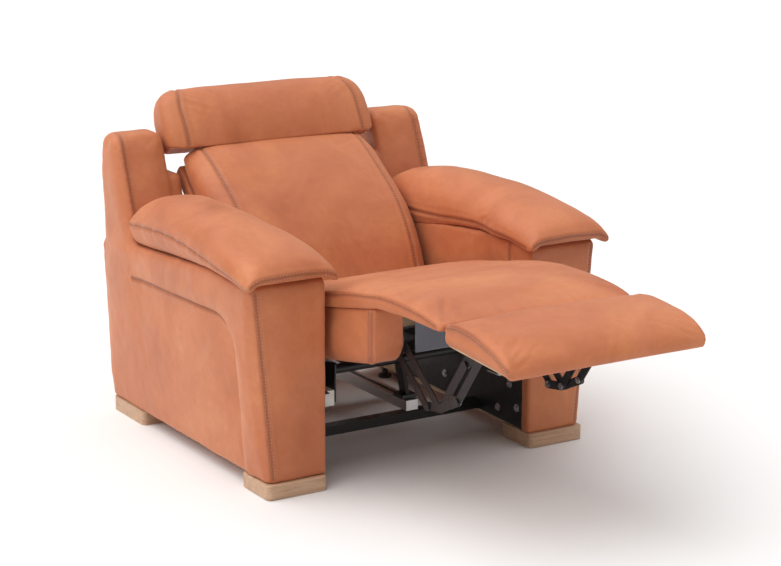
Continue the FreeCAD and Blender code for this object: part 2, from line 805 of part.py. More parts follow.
def inward_pin(side, pivot):
    """Pin fixed in an outer link that an inner link turns on, with a head on the inner side."""
    y, z = pivot
    shaft = rod_x(y, z, PIN_R, side * (LINK_OUTER_X - LINK_T), side * (LINK_INNER_X - LINK_T - 1))
    head = rod_x(y, z, 8.5, side * (LINK_INNER_X - LINK_T - 0.7), side * (LINK_INNER_X - LINK_T - 4))
    return shaft.fuse(head).removeSplitter()


def bracket_pin(side, pivot):
    """Headed pin fixed in an inner link, which turns in a hole of the footrest bracket."""
    y, z = pivot
    shaft = rod_x(y, z, PIN_R, side * (LINK_INNER_X - LINK_T), side * (BRACKET_X - LINK_T - 1))
    head = rod_x(y, z, 8.5, side * (BRACKET_X - LINK_T - 0.7), side * (BRACKET_X - LINK_T - 4))
    return shaft.fuse(head).removeSplitter()


# ---- backrest -----------------------------------------------------------------------------------------------


def prism_uw(points, half_width, radii, place=back_point):
    return prism_yz([place(u, w) for u, w in points], -half_width, half_width, radii)


def clear_of_drive(shape):
    """Room in a piece of the backrest for the recline shaft and its gear motor."""
    shaft_bore = rod_x(RECLINE_Y, RECLINE_Z, SHAFT_R + 1.0, -BACK_HALF_W - 5, BACK_HALF_W + 5)
    return shape.cut(shaft_bore.fuse(recline_motor_housing(0.3)))


def back_cushion():
    """Crowned cushion on the front of the back frame."""
    outline = [
        (-62, 12),
        (-62, 52),
        (-8, 80),
        (110, 116),
        (260, 124),
        (400, 98),
        (465, 74),
        (BACK_HEIGHT - 4, 46),
        (BACK_HEIGHT - 4, 12),
    ]
    return clear_of_drive(prism_uw(outline, BACK_HALF_W, [8, 20, 60, 160, 200, 120, 24, 8, 6]))


def back_frame():
    return clear_of_drive(prism_uw([(-60, -10), (-60, 11), (484, 11), (484, -10)], BACK_HALF_W - 24, 6))


def back_shell():
    """Padded outside back."""
    outline = [(-86, -62), (-86, -26), (-50, -11), (480, -11), (488, -30), (470, -62)]
    return clear_of_drive(prism_uw(outline, BACK_HALF_W - 4, [10, 8, 8, 8, 10, 24]))


def recline_arm(side):
    """Flat bar from the recline shaft up the side of the back frame."""
    x0 = side * (BACK_HALF_W - 23.5)
    x1 = side * (BACK_HALF_W - 23.5 + PLATE_T)
    bar = prism_yz(
        [back_point(u, w) for u, w in [(-20, -10), (-20, 11), (300, 11), (300, -10)]], x0, x1, 8
    )
    return bar.cut(rod_x(RECLINE_Y, RECLINE_Z, SHAFT_R + PIN_CLEARANCE, x0 - side, x1 + side))


def headrest_bracket(side):
    """Ratchet housing on the back frame that carries the headrest's pin."""
    y, z = back_point(HEADREST_U, HEADREST_W)
    x0 = side * 200
    x1 = side * 212
    arm = prism_yz(
        [back_point(u, w) for u, w in [(486, -9), (486, 11), (HEADREST_U + 9, 13), (HEADREST_U + 9, -5)]],
        x0, x1, [0, 0, 6, 6],
    )
    return arm.cut(rod_x(y, z, 5 + PIN_CLEARANCE, x0 - side * 2, x1 + side * 2))


def headrest_pin():
    y, z = back_point(HEADREST_U, HEADREST_W)
    return rod_x(y, z, 5, -236, 236)


def headrest_plate():
    plate = prism_uw([(13, -6), (13, 5), (170, 5), (170, -6)], HEADREST_HALF_W - 50, [0, 0, 4, 4], head_point)
    tabs = []
    for side in SIDES.values():
        for x in (150, 226):
            tabs.append(prism_yz(
                [head_point(u, w) for u, w in [(-9, -9), (-9, 9), (14, 9), (14, -9)]],
                side * x, side * (x + 8), [6, 6, 0, 0],
            ))
    body = plate.fuse(tabs).removeSplitter()
    y, z = back_point(HEADREST_U, HEADREST_W)
    return body.cut(rod_x(y, z, 5 + PIN_CLEARANCE, -240, 240))


def headrest_pad():
    """Curved headrest cushion wrapped round its plate, with a nose over the top of the back cushion."""
    outline = [
        (14, -18),
        (14, 34),
        (3, 50),
        (-12, 72),
        (30, 84),
        (140, 82),
        (HEADREST_HEIGHT, 52),
        (HEADREST_HEIGHT, -10),
        (160, -20),
    ]
    pad = prism_uw(outline, HEADREST_HALF_W, [10, 6, 6, 8, 40, 60, 34, 16, 60], head_point)
    pocket = prism_uw([(10, -6.2), (10, 5.2), (170.2, 5.2), (170.2, -6.2)], HEADREST_HALF_W - 49.5, 0.0, head_point)
    return pad.cut(pocket)


# ---- all nodes ----------------------------------------------------------------------------------------------


def make_nodes():
    nodes = {}
    for name, side in SIDES.items():
        nodes["arm_cover_" + name] = arm_cover(side)
        nodes["wing_" + name] = group([wing(side), wing_pad(side)])
        nodes["arm_pillow_" + name] = arm_pillow(side)
        nodes["seat_side_" + name] = seat_side(side)
    nodes["arm_inner_boards"] = both_sides(arm_inner_board)
    nodes["arm_frames"] = both_sides(arm_frame)
    nodes["front_feet"] = both_sides(front_foot)
    nodes["rear_feet"] = both_sides(rear_foot)
    nodes["rear_glides"] = both_sides(rear_glide)
    nodes["base_side_plates"] = both_sides(base_side_plate)
    nodes["seat_tracks"] = both_sides(seat_track)
    nodes["base_bolts"] = base_bolts()
    nodes["front_cross_rail"] = cross_rail(RAIL_Y, 64, 34, 26)
    nodes["rear_cross_rail"] = cross_rail(REAR_RAIL_Y, 124, 30, 24)
    nodes["rear_lower_panel"] = rear_lower_panel().cut(rod_y(-200, 110, 14, 890, 950))
    nodes["actuator_rail"] = actuator_rail()
    nodes["actuator_motor"] = actuator_motor()
    nodes["control_box"] = control_box()
    nodes["power_inlet"] = power_inlet()
    nodes["switch_plate"] = switch_plate()
    nodes["open_button"] = button(-20)
    nodes["close_button"] = button(20)

    nodes["seat_cushion"] = seat_cushion()
    nodes["seat_front_board"] = seat_board(-140, -118)
    nodes["seat_rear_board"] = seat_board(SEAT_REAR_Y - 22, SEAT_REAR_Y)
    nodes["seat_webbing"] = seat_webbing()
    nodes["front_lining"] = front_lining()
    nodes["seat_link_plates"] = both_sides(seat_link_plate)
    nodes["seat_link_pins"] = group([p for s in SIDES.values() for p in seat_pins(s).Solids])
    nodes["seat_cross_tube"] = seat_cross_tube()
    nodes["carriage_plates"] = both_sides(carriage_plate)
    nodes["slide_shoes"] = slide_shoes()
    nodes["drive_bracket"] = drive_bracket()
    nodes["recline_brackets"] = both_sides(recline_bracket)
    nodes["recline_motor"] = recline_motor()

    nodes["footrest_pad"] = footrest_pad()
    nodes["footrest_board"] = footrest_board()
    nodes["footrest_brackets"] = both_sides(footrest_bracket)
    nodes["chaise_pad"] = chaise_pad()
    nodes["main_links"] = both_sides(main_link)
    nodes["main_link_pins"] = group([inward_pin(s, p) for s in SIDES.values() for p in (PIVOT_E, PIVOT_C)])
    nodes["guide_links"] = both_sides(guide_link)
    nodes["guide_link_pins"] = group([inward_pin(s, PIVOT_D) for s in SIDES.values()])
    nodes["middle_links"] = both_sides(middle_link)
    nodes["middle_link_pins"] = group([bracket_pin(s, PIVOT_F) for s in SIDES.values()])
    nodes["front_links"] = both_sides(front_link)
    nodes["front_link_pins"] = group([bracket_pin(s, PIVOT_G) for s in SIDES.values()])

    nodes["back_cushion"] = back_cushion()
    nodes["back_frame"] = back_frame()
    nodes["back_shell"] = back_shell()
    nodes["recline_arms"] = both_sides(recline_arm)
    nodes["recline_shaft"] = recline_shaft()
    nodes["headrest_brackets"] = both_sides(headrest_bracket)
    nodes["headrest_pin"] = headrest_pin()
    nodes["headrest_plate"] = headrest_plate()
    nodes["headrest_pad"] = headrest_pad()
    return nodes


def main():
    os.makedirs("parts", exist_ok=True)
    nodes = make_nodes()
    whole = Part.makeCompound(list(nodes.values())).BoundBox
    shift = -(whole.YMin + whole.YMax) / 2
    print("move along Y:", round(shift, 3), " half length:", round(whole.YLength / 2, 3))
    for name, shape in nodes.items():
        shape.translate(V(0, shift, 0))
        shape.exportStep("parts/" + name + ".step")


main()
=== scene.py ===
import math

import bmesh
import bpy
import numpy as np
import openvdb
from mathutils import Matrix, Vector, noise
from mathutils.bvhtree import BVHTree
from mathutils.kdtree import KDTree


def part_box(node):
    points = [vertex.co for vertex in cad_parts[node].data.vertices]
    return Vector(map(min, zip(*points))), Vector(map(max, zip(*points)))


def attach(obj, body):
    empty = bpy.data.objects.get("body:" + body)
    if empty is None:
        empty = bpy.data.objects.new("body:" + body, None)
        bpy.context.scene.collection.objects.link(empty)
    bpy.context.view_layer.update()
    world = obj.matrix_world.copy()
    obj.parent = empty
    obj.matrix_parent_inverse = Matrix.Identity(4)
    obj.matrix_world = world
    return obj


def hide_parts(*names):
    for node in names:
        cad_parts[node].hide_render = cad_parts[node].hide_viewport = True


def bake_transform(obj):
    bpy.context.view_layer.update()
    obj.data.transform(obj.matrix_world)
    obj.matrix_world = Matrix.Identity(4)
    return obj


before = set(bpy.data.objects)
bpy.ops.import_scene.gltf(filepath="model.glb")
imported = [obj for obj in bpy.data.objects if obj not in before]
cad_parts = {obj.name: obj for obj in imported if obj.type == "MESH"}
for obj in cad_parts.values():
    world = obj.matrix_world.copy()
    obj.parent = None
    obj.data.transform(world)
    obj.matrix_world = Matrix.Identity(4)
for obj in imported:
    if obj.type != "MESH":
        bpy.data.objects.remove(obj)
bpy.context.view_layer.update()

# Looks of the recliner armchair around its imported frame. Metres, +Z up, -Y is the front, left is -X.
# Soft shapes are written as fields of (x, y, z) that are negative inside, with y measured from the front of
# the arms, as in the CAD source. Side pieces are written for the right side and mirrored for the left.

Y0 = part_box("arm_cover_right")[0].y
ARM_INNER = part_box("arm_inner_boards")[1].x - 0.015
ARM_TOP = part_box("arm_cover_right")[1].z
ARM_LEAN = 0.09
FOOT_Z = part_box("arm_cover_right")[0].z
ARM_FOOT_X = 0.490
SIM_FRAMES = 12
LEATHER_VOXEL = 0.0075

# Hinge frames of the backrest and the headrest: (y, z) of the origin and the lean from the vertical
SHAFT_LOW, SHAFT_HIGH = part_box("recline_shaft")
PIN_LOW, PIN_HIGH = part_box("headrest_pin")
BACK_ORIGIN = ((SHAFT_LOW.y + SHAFT_HIGH.y) / 2 - Y0, (SHAFT_LOW.z + SHAFT_HIGH.z) / 2)
HEAD_ORIGIN = ((PIN_LOW.y + PIN_HIGH.y) / 2 - Y0, (PIN_LOW.z + PIN_HIGH.z) / 2)
BACK_LEAN = math.radians(47.0)
HEAD_LEAN = math.radians(35.0)


# ---- fields ------------------------------------------------------------------------------------------


def rmax(a, b, r):
    """Intersection of two fields with their edge rounded to radius r."""
    return np.minimum(np.maximum(a, b), -r) + np.hypot(np.maximum(a + r, 0), np.maximum(b + r, 0))


def smin(a, b, k):
    """Union of two fields, blended over a width of about k."""
    h = np.clip(0.5 + 0.5 * (b - a) / k, 0, 1)
    return b * (1 - h) + a * h - k * h * (1 - h)


def step(v, low, high):
    t = np.clip((v - low) / (high - low), 0, 1)
    return t * t * (3 - 2 * t)


def bump(v, centre, width):
    return np.exp(-(((v - centre) / width) ** 2))


def smooth_curve(points, width=0.012):
    """Function through the (place, value) points, rounded over the given width."""
    xs = np.array([p[0] for p in points])
    ys = np.array([p[1] for p in points])
    pad = 4 * width
    fine = np.arange(xs.min() - pad, xs.max() + pad, width / 4)
    values = np.interp(fine, xs, ys)
    reach = np.arange(-8, 9)
    kernel = np.exp(-((reach / 4.0) ** 2))
    kernel /= kernel.sum()
    padded = np.pad(values, 8, mode="edge")
    values = np.convolve(padded, kernel, mode="valid")
    return lambda v: np.interp(v, fine, values)


def convex(a, b, points, radii):
    """Field of a convex outline of (a, b) points, counter-clockwise, with rounded corners."""
    field = None
    for i, (a0, b0) in enumerate(points):
        a1, b1 = points[(i + 1) % len(points)]
        length = math.hypot(a1 - a0, b1 - b0)
        edge = ((a - a0) * (b1 - b0) - (b - b0) * (a1 - a0)) / length
        field = edge if field is None else rmax(field, edge, radii[i])
    return field


def arm_outer(z, y=0.0):
    """Outer face of the sides, which leans out and draws in towards the rear."""
    return np.minimum(ARM_FOOT_X + (z - FOOT_Z) * ARM_LEAN, 0.558 - 0.065 * y)


def arm_top(y):
    return ARM_TOP - 0.084 * np.maximum(y - 0.25, 0)


def wing_front(z):
    return 0.757 + (z - 0.520) * 0.383


SIDE_CREASE = smooth_curve(
    [(0.10, 0.442), (0.19, 0.451), (0.425, 0.445), (0.634, 0.435), (0.753, 0.429), (0.93, 0.42)], 0.03)
CREASE_FRONT_Y = 0.122
BOARD_COVER_Z = 0.300
FACING_X = ARM_INNER - 0.005


def side_field(x, y, z):
    """Arm and wing as one upholstered body: panel below the crease, roll above it and down the front edge."""
    into = rmax(CREASE_FRONT_Y - y, z - SIDE_CREASE(y), 0.07)
    tucked = np.where(into < 0, np.exp(into / 0.07), np.exp(-into / 0.006))
    fade = 1 - step(y, 0.60, 0.80)
    low_fade = 0.35 + 0.65 * step(z, 0.06, 0.34)
    puff = 0.004 * bump(z, 0.26, 0.13) * bump(y, 0.48, 0.3)
    outer = x - arm_outer(z, y) - puff + 0.012 * tucked * fade * low_fade
    outer = outer - 0.004 * np.where(into > 0, bump(into, 0.03, 0.025), 0) * fade
    front = 0.004 - y - 0.004 * bump(z, 0.3, 0.2) * bump(x, 0.41, 0.07)
    rear = y - (0.940 + 0.045 * np.clip((z - 0.04) / 0.46, 0, 1))
    wrapped = np.maximum(step(z, BOARD_COVER_Z - 0.006, BOARD_COVER_Z + 0.006), 1 - step(y, 0.039, 0.045))
    inner = (ARM_INNER + 0.0165) - 0.0215 * wrapped - x
    arm = rmax(outer, front, 0.024)
    arm = rmax(arm, z - arm_top(y), 0.022)
    arm = rmax(arm, rear, 0.016)
    arm = rmax(arm, inner, 0.006)
    arm = rmax(arm, FOOT_Z - z, 0.007)
    profile = [(0.741, 0.480), (0.984, 0.480), (0.994, 0.600), (0.991, 0.720), (0.965, 0.808), (0.867, 0.808)]
    set_back = 0.010 * step(x, 0.470, 0.486)
    wing = convex(y + set_back, z, profile, [0.01, 0.03, 0.05, 0.03, 0.034, 0.03])
    cheek = 0.004 * bump(z, 0.69, 0.08) * bump(y, 0.88, 0.09)
    wing = rmax(wing, x - arm_outer(z, y) - cheek, 0.024)
    wing = rmax(wing, 0.343 - x, 0.030)
    pad = rmax(wing_front(z) + 0.014 - y, y - 0.981, 0.014)
    pad = rmax(rmax(pad, z - 0.691, 0.016), 0.490 - z, 0.002)
    pad = rmax(rmax(pad, 0.309 - x, 0.012), x - 0.37, 0.002)
    wing = smin(wing, pad, 0.006)
    return smin(arm, wing, 0.014)


PILLOW_CREST = smooth_curve(
    [(-0.034, 0.582), (-0.028, 0.600), (-0.012, 0.617), (0.02, 0.632), (0.08, 0.648), (0.17, 0.664),
     (0.30, 0.678), (0.45, 0.682), (0.58, 0.679), (0.68, 0.664), (0.735, 0.643), (0.768, 0.618),
     (0.784, 0.592)], 0.010)
PILLOW_EDGE = smooth_curve(
    [(-0.03, 0.577), (0.06, 0.580), (0.20, 0.592), (0.36, 0.602), (0.55, 0.600), (0.785, 0.577)], 0.03)
PILLOW_OUTER = smooth_curve([(-0.03, 0.556), (0.12, 0.555), (0.40, 0.532), (0.79, 0.503)], 0.03)


def pillow_field(x, y, z):
    """Lens of the arm pillow, with corners that droop over the arm."""
    inner = 0.291 + 0.015 * step(y, 0.12, 0.26)
    outer = PILLOW_OUTER(y)
    centre = (inner + outer) / 2
    half = (outer - inner) / 2
    across = np.clip(np.abs(x - centre) / half, 0, 1)
    beside = step(across, 0.68, 1.0)
    front = bump(y, -0.03, 0.075)
    droop = 0.020 * beside * front + 0.006 * beside * step(y, 0.05, 0.3)
    inside = (x < centre) * beside * bump(y, 0.56, 0.15)
    droop = droop + 0.026 * inside
    edge = PILLOW_EDGE(y) - droop
    low = arm_top(y) + 0.001 - droop
    ends = np.clip((y - 0.377) / 0.407, -1, 1)
    over = np.sqrt(np.clip(1 - across ** 2.7, 0, 1))
    under = np.sqrt(np.clip(1 - across ** 9, 0, 1)) * np.sqrt(np.clip(1 - np.abs(ends) ** 16, 0, 1))
    top = edge + (PILLOW_CREST(y) - edge) * over
    bottom = edge - (edge - low) * under
    body = rmax(z - top, bottom - z, 0.006)
    body = rmax(body, np.abs(x - centre) - half, 0.010)
    body = rmax(body, -0.032 - y, 0.012)
    return rmax(body, y - np.minimum(wing_front(z) - 0.0005, 0.786), 0.014)


def seat_plane(y, height=0.0):
    return 0.515 + height - (y + 0.190) * math.tan(math.radians(11.0))


def seat_side_field(x, y, z):
    """Seat rail with the ear at its front, a little deeper in front of the corner seam."""
    drop = 0.010 * (1 - step(y, -0.160, -0.135))
    puff = 0.003 * bump(y, 0.1, 0.25) * bump(z, seat_plane(0.1, -0.07), 0.05)
    belly = 0.005 * bump(z, 0.43, 0.05) * bump(x, 0.241, 0.035)
    body = rmax(np.abs(x - 0.241) - 0.0445 - puff, -0.187 - y - belly, 0.018)
    body = rmax(body, seat_plane(y, -0.142) - drop - z, 0.016)
    body = rmax(body, z - seat_plane(y, 0.002), 0.006)
    cut = [(-0.192, 0.405), (-0.140, 0.340), (0.2, 0.2), (0.5, 0.6), (-0.192, 0.6)]
    corner = convex(y, z, cut, [0, 0.03, 0, 0, 0])
    body = rmax(body, corner, 0.02)
    return rmax(body, y - 0.430, 0.012)


CHAISE_TOP = smooth_curve(
    [(-0.480, 0.534), (-0.466, 0.545), (-0.44, 0.5535), (-0.40, 0.560), (-0.34, 0.5645), (-0.27, 0.5665),
     (-0.20, 0.5645), (-0.08, 0.5475), (0.06, 0.519), (0.28, 0.474), (0.34, 0.458), (0.40, 0.440),
     (0.432, 0.424)], 0.010)


def chaise_field(x, y, z):
    """Seat cushion and the flap in front of it, in one piece up to the valley before the footrest."""
    flap = 1 - step(y, -0.215, -0.165)
    half = 0.295 - 0.010 * flap
    side = np.abs(x) - half
    crown = 0.006 * (1 - np.clip(np.abs(x) / 0.29, 0, 1) ** 2.4) * (1 - step(y, 0.15, 0.32)) - 0.002
    top = CHAISE_TOP(y) + crown
    under = np.where(y > -0.19, seat_plane(y, 0.001), 0.516 + 0.005 * step(-y, 0.19, 0.32))
    body = rmax(z - top, side, 0.017)
    body = rmax(body, under - z, 0.008)
    body = rmax(body, y - 0.434, 0.014)
    return rmax(body, -0.4765 - y, 0.010)


FOOT_TOP = smooth_curve(
    [(-0.764, 0.486), (-0.757, 0.505), (-0.742, 0.522), (-0.715, 0.537), (-0.67, 0.548), (-0.61, 0.5545),
     (-0.555, 0.5565), (-0.515, 0.553), (-0.492, 0.546), (-0.478, 0.534)], 0.010)
FOOT_SEAM = smooth_curve(
    [(-0.765, 0.476), (-0.735, 0.494), (-0.68, 0.518), (-0.61, 0.534), (-0.54, 0.540), (-0.48, 0.533)], 0.02)


def pad_under(y):
    return 0.491 + (y + 0.479) * math.tan(math.radians(4.0))


def footrest_field(x, y, z):
    """Crowned footrest pad; its top panel stands over the side gussets."""
    below = step(FOOT_SEAM(y) - z, -0.002, 0.006)
    bulge = 0.006 * bump(z, (FOOT_SEAM(y) + pad_under(y)) / 2, 0.014)
    side = np.abs(x) - 0.284 + 0.011 * below - bulge * below
    crown = 0.006 * (1 - np.clip(np.abs(x) / 0.283, 0, 1) ** 2.4) - 0.001
    body = rmax(z - FOOT_TOP(y) - crown, side, 0.014)
    body = rmax(body, pad_under(y) - z, 0.012)
    body = rmax(body, y + 0.4795, 0.014)
    return rmax(body, -0.762 - y, 0.010)


def lean_axes(y, z, origin, lean):
    """Height u up a leaning cushion and distance w in front of its hinge plane."""
    dy = y - origin[0]
    dz = z - origin[1]
    return dy * math.sin(lean) + dz * math.cos(lean), -dy * math.cos(lean) + dz * math.sin(lean)


def lean_point(x, u, w, origin, lean):
    y = origin[0] + u * math.sin(lean) - w * math.cos(lean)
    z = origin[1] + u * math.cos(lean) + w * math.sin(lean)
    return (x, y, z)


BACK_FRONT = smooth_curve(
    [(-0.070, 0.046), (-0.05, 0.058), (-0.008, 0.073), (0.05, 0.096), (0.11, 0.112), (0.18, 0.122),
     (0.25, 0.121),
     (0.33, 0.110), (0.40, 0.097), (0.445, 0.084), (0.47, 0.072), (0.487, 0.056), (0.500, 0.034)], 0.012)


def back_field(x, y, z):
    u, w = lean_axes(y, z, BACK_ORIGIN, BACK_LEAN)
    across = np.clip(np.abs(x) / 0.30, 0, 1)
    crown = 0.010 * (1 - across ** 2) * step(u, 0.02, 0.14) - 0.018 * across ** 6
    crown = crown - 0.006 * (1 - step(u, -0.05, 0.06))
    half = 0.301 - 0.010 * bump(u, 0.49, 0.05)
    body = rmax(w - BACK_FRONT(u) - crown, np.abs(x) - half, 0.045)
    body = rmax(body, 0.0125 - w, 0.010)
    body = rmax(body, u - 0.493, 0.014)
    return rmax(body, -0.064 - u, 0.022)


HEAD_FRONT = smooth_curve(
    [(-0.03, 0.066), (-0.01, 0.072), (0.02, 0.080), (0.06, 0.086), (0.11, 0.087), (0.15, 0.079),
     (0.18, 0.060), (0.20, 0.040)], 0.015)
HEAD_HALF = smooth_curve([(-0.02, 0.330), (0.03, 0.336), (0.10, 0.336), (0.15, 0.326), (0.20, 0.296)], 0.02)
HEAD_UNDER = smooth_curve(
    [(-0.03, 0.0135), (0.034, 0.0125), (0.05, 0.001), (0.072, -0.014), (0.10, -0.030)], 0.006)


def head_field(x, y, z):
    u, w = lean_axes(y, z, HEAD_ORIGIN, HEAD_LEAN)
    across = np.clip(np.abs(x) / 0.336, 0, 1)
    crown = 0.003 * (1 - across ** 2) - 0.010 * across ** 6
    body = rmax(w - HEAD_FRONT(u) - crown, np.abs(x) - HEAD_HALF(u), 0.034)
    body = rmax(body, -0.019 - w - 0.004 * bump(u, 0.1, 0.05), 0.020)
    body = rmax(body, u - 0.193 - 0.004 * (1 - across ** 2), 0.026)
    return rmax(body, HEAD_UNDER(w) - u, 0.008)


def shell_field(x, y, z):
    u, w = lean_axes(y, z, BACK_ORIGIN, BACK_LEAN)
    puff = 0.004 * bump(u, 0.22, 0.16) * (1 - np.clip(np.abs(x) / 0.3, 0, 1) ** 4)
    body = rmax(-0.059 - puff - w, np.abs(x) - 0.296, 0.018)
    body = rmax(body, w + 0.0115, 0.006)
    body = rmax(body, u - 0.486, 0.016)
    return rmax(body, -0.085 - u, 0.012)


def rear_panel_field(x, y, z):
    puff = 0.004 * bump(z, 0.21, 0.1) * (1 - np.clip(np.abs(x) / 0.31, 0, 1) ** 4)
    body = rmax(y - 0.934 - puff, np.abs(x) - 0.3188, 0.010)
    body = rmax(body, 0.907 - y, 0.004)
    body = rmax(body, z - 0.371, 0.010)
    return rmax(body, 0.0605 - z, 0.008)


# ---- meshes ------------------------------------------------------------------------------------------


def object_from(name, points, faces, side=1):
    """New object from points measured from the front of the arms; side -1 mirrors it to the left."""
    points = np.array(points, float).reshape(-1, 3).copy()
    points[:, 1] += Y0
    if side < 0:
        points[:, 0] *= -1
        faces = [tuple(reversed(f)) for f in faces]
    mesh = bpy.data.meshes.new(name)
    mesh.from_pydata(points.tolist(), [], [tuple(int(i) for i in f) for f in faces])
    mesh.validate()
    mesh.polygons.foreach_set("use_smooth", [True] * len(mesh.polygons))
    obj = bpy.data.objects.new(name, mesh)
    bpy.context.scene.collection.objects.link(obj)
    return obj


def coords(obj):
    co = np.zeros(len(obj.data.vertices) * 3)
    obj.data.vertices.foreach_get("co", co)
    return co.reshape(-1, 3)


def normals(obj):
    found = np.zeros(len(obj.data.vertices) * 3)
    obj.data.vertices.foreach_get("normal", found)
    return found.reshape(-1, 3)


def set_coords(obj, co):
    obj.data.vertices.foreach_set("co", np.asarray(co, np.float32).ravel())
    obj.data.update()


def shape(name, field, low, high, voxel=LEATHER_VOXEL):
    """Closed quad mesh of a field's surface inside a box, with its normals outwards."""
    low = np.array(low)
    counts = np.ceil((np.array(high) - low) / voxel).astype(int) + 1
    x, y, z = np.meshgrid(*[low[k] + voxel * np.arange(counts[k]) for k in range(3)], indexing="ij")
    values = np.clip(field(x, y, z), -3 * voxel, 3 * voxel).astype(np.float32)
    for axis in range(3):
        edge = [slice(None)] * 3
        for end in (0, -1):
            edge[axis] = end
            values[tuple(edge)] = 3 * voxel
    grid = openvdb.FloatGrid(float(3 * voxel))
    grid.copyFromArray(values)
    points, quads = grid.convertToQuads(0.0)
    obj = object_from(name, low + points * voxel, quads.tolist())
    bm = bmesh.new()
    bm.from_mesh(obj.data)
    bmesh.ops.recalc_face_normals(bm, faces=bm.faces)
    if bm.calc_volume(signed=True) < 0:
        bmesh.ops.reverse_faces(bm, faces=bm.faces)
    bm.to_mesh(obj.data)
    bm.free()
    return obj


def apply_modifiers(obj):
    evaluated = obj.evaluated_get(bpy.context.evaluated_depsgraph_get())
    mesh = bpy.data.meshes.new_from_object(evaluated)
    obj.modifiers.clear()
    old = obj.data
    obj.data = mesh
    bpy.data.meshes.remove(old)
    mesh.name = obj.name


def near(points, path):
    """Distance from each point to a path of close points."""
    tree = KDTree(len(path))
    for i, p in enumerate(path):
        tree.insert(p, i)
    tree.balance()
    return np.array([tree.find(p)[2] for p in points])


def inflate(obj, seams, held, cap=0.012, pressure=4.0):
    """Blows the cover up as cloth: seams and the points named by held stay, and no point moves past cap."""
    rest = coords(obj)
    pins = held(rest)
    for path in seams:
        pins = np.maximum(pins, near(rest, path) < 0.007)
    group = obj.vertex_groups.new(name="pin")
    group.add([int(i) for i in np.nonzero(pins)[0]], 1.0, "REPLACE")
    cloth = obj.modifiers.new("cloth", "CLOTH")
    settings = cloth.settings
    settings.quality = 4
    settings.mass = 0.4
    settings.tension_stiffness = 12
    settings.compression_stiffness = 12
    settings.shear_stiffness = 6
    settings.bending_stiffness = 1.2
    settings.use_pressure = True
    settings.uniform_pressure_force = pressure
    settings.effector_weights.gravity = 0
    settings.vertex_group_mass = "pin"
    cloth.point_cache.frame_start = 1
    cloth.point_cache.frame_end = SIM_FRAMES
    scene = bpy.context.scene
    for number in range(1, SIM_FRAMES + 1):
        scene.frame_set(number)
    evaluated = obj.evaluated_get(bpy.context.evaluated_depsgraph_get())
    blown = np.zeros(len(rest) * 3)
    evaluated.data.vertices.foreach_get("co", blown)
    obj.modifiers.clear()
    obj.vertex_groups.clear()
    scene.frame_set(1)
    move = blown.reshape(-1, 3) - rest
    length = np.linalg.norm(move, axis=1)
    scale = np.where(length > 1e-9, cap * np.tanh(length / cap) / np.maximum(length, 1e-9), 1)
    set_coords(obj, rest + move * scale[:, None])


def refine(obj):
    finer = obj.modifiers.new("finer", "SUBSURF")
    finer.levels = 1
    finer.render_levels = 1
    apply_modifiers(obj)


def mirrored(obj, name):
    """Copy of a right-hand piece for the left side."""
    mesh = obj.data.copy()
    mesh.name = name
    copy = bpy.data.objects.new(name, mesh)
    bpy.context.scene.collection.objects.link(copy)
    co = coords(copy)
    co[:, 0] *= -1
    set_coords(copy, co)
    mesh.flip_normals()
    return copy


def surface(obj):
    faces = [tuple(p.vertices) for p in obj.data.polygons]
    return BVHTree.FromPolygons([v.co for v in obj.data.vertices], faces)


def path_on(obj, points, spacing=0.003, side=1, loop=False):
    """Close, evenly spaced points of a seam on the piece, through points with y from the arms' front."""
    tree = surface(obj)
    rough = [Vector((side * p[0], p[1] + Y0, p[2])) for p in points]
    if loop:
        rough.append(rough[0])
    dense = []
    for a, b in zip(rough, rough[1:]):
        count = max(1, int((b - a).length / spacing))
        dense += [a.lerp(b, k / count) for k in range(count)]
    dense.append(rough[-1])
    line = np.array([tree.find_nearest(p)[0] for p in dense])
    for _ in range(12):
        inner = (line[:-2] + 2 * line[1:-1] + line[2:]) / 4
        line[1:-1] = inner
        line = np.array([tree.find_nearest(Vector(p))[0] for p in line])
    kept = [line[0]]
    for p in line[1:]:
        if np.linalg.norm(p - kept[-1]) > spacing * 0.8:
            kept.append(p)
    return [Vector(p) for p in kept]


# Adds to the crease attribute, which sets how much painted shade the leather puts into the seam grooves
def add_seam_shade(obj, amount):
    found = obj.data.attributes.get("crease") or obj.data.attributes.new("crease", "FLOAT", "POINT")
    values = np.zeros(len(obj.data.vertices), np.float32)
    found.data.foreach_get("value", values)
    found.data.foreach_set("value", np.clip(values + amount, 0, 1).astype(np.float32))


def seam(obj, path, depth=0.0028, width=0.0042, roll=0.0012):
    """Presses a seam into the piece along a path, with a soft roll on both sides, and marks painted shade
    along its groove in the crease attribute.
    """
    co = coords(obj)
    away = near(co, path)
    beside = np.exp(-(((away - 2.6 * width) / (1.4 * width)) ** 2))
    push = -depth * np.exp(-((away / width) ** 2)) + roll * beside
    set_coords(obj, co + normals(obj) * push[:, None])
    # painted shade: the leather's colour is darkened along the seam's groove, where shade falls
    add_seam_shade(obj, np.exp(-((away / (1.6 * width)) ** 2)))


def wrinkle(obj, amount, size, mask=None, seed=0.0, stretch=(1, 1, 1)):
    """Small folds from smooth noise, along the normals."""
    co = coords(obj)
    offset = Vector((seed, seed * 1.7, seed * 2.3))
    scale = Vector([1 / (size * s) for s in stretch])
    places = [Vector((p[0] * scale.x, p[1] * scale.y, p[2] * scale.z)) + offset for p in co]
    values = np.array([noise.noise(p) for p in places])
    if mask is not None:
        values = values * mask(co[:, 0], co[:, 1] - Y0, co[:, 2])
    set_coords(obj, co + normals(obj) * (amount * values)[:, None])


def remember_rest(obj):
    """Keeps the rest position as an attribute, so that the leather's pattern bends with the piece."""
    kept = obj.data.attributes.get("rest") or obj.data.attributes.new("rest", "FLOAT_VECTOR", "POINT")
    kept.data.foreach_set("vector", coords(obj).astype(np.float32).ravel())


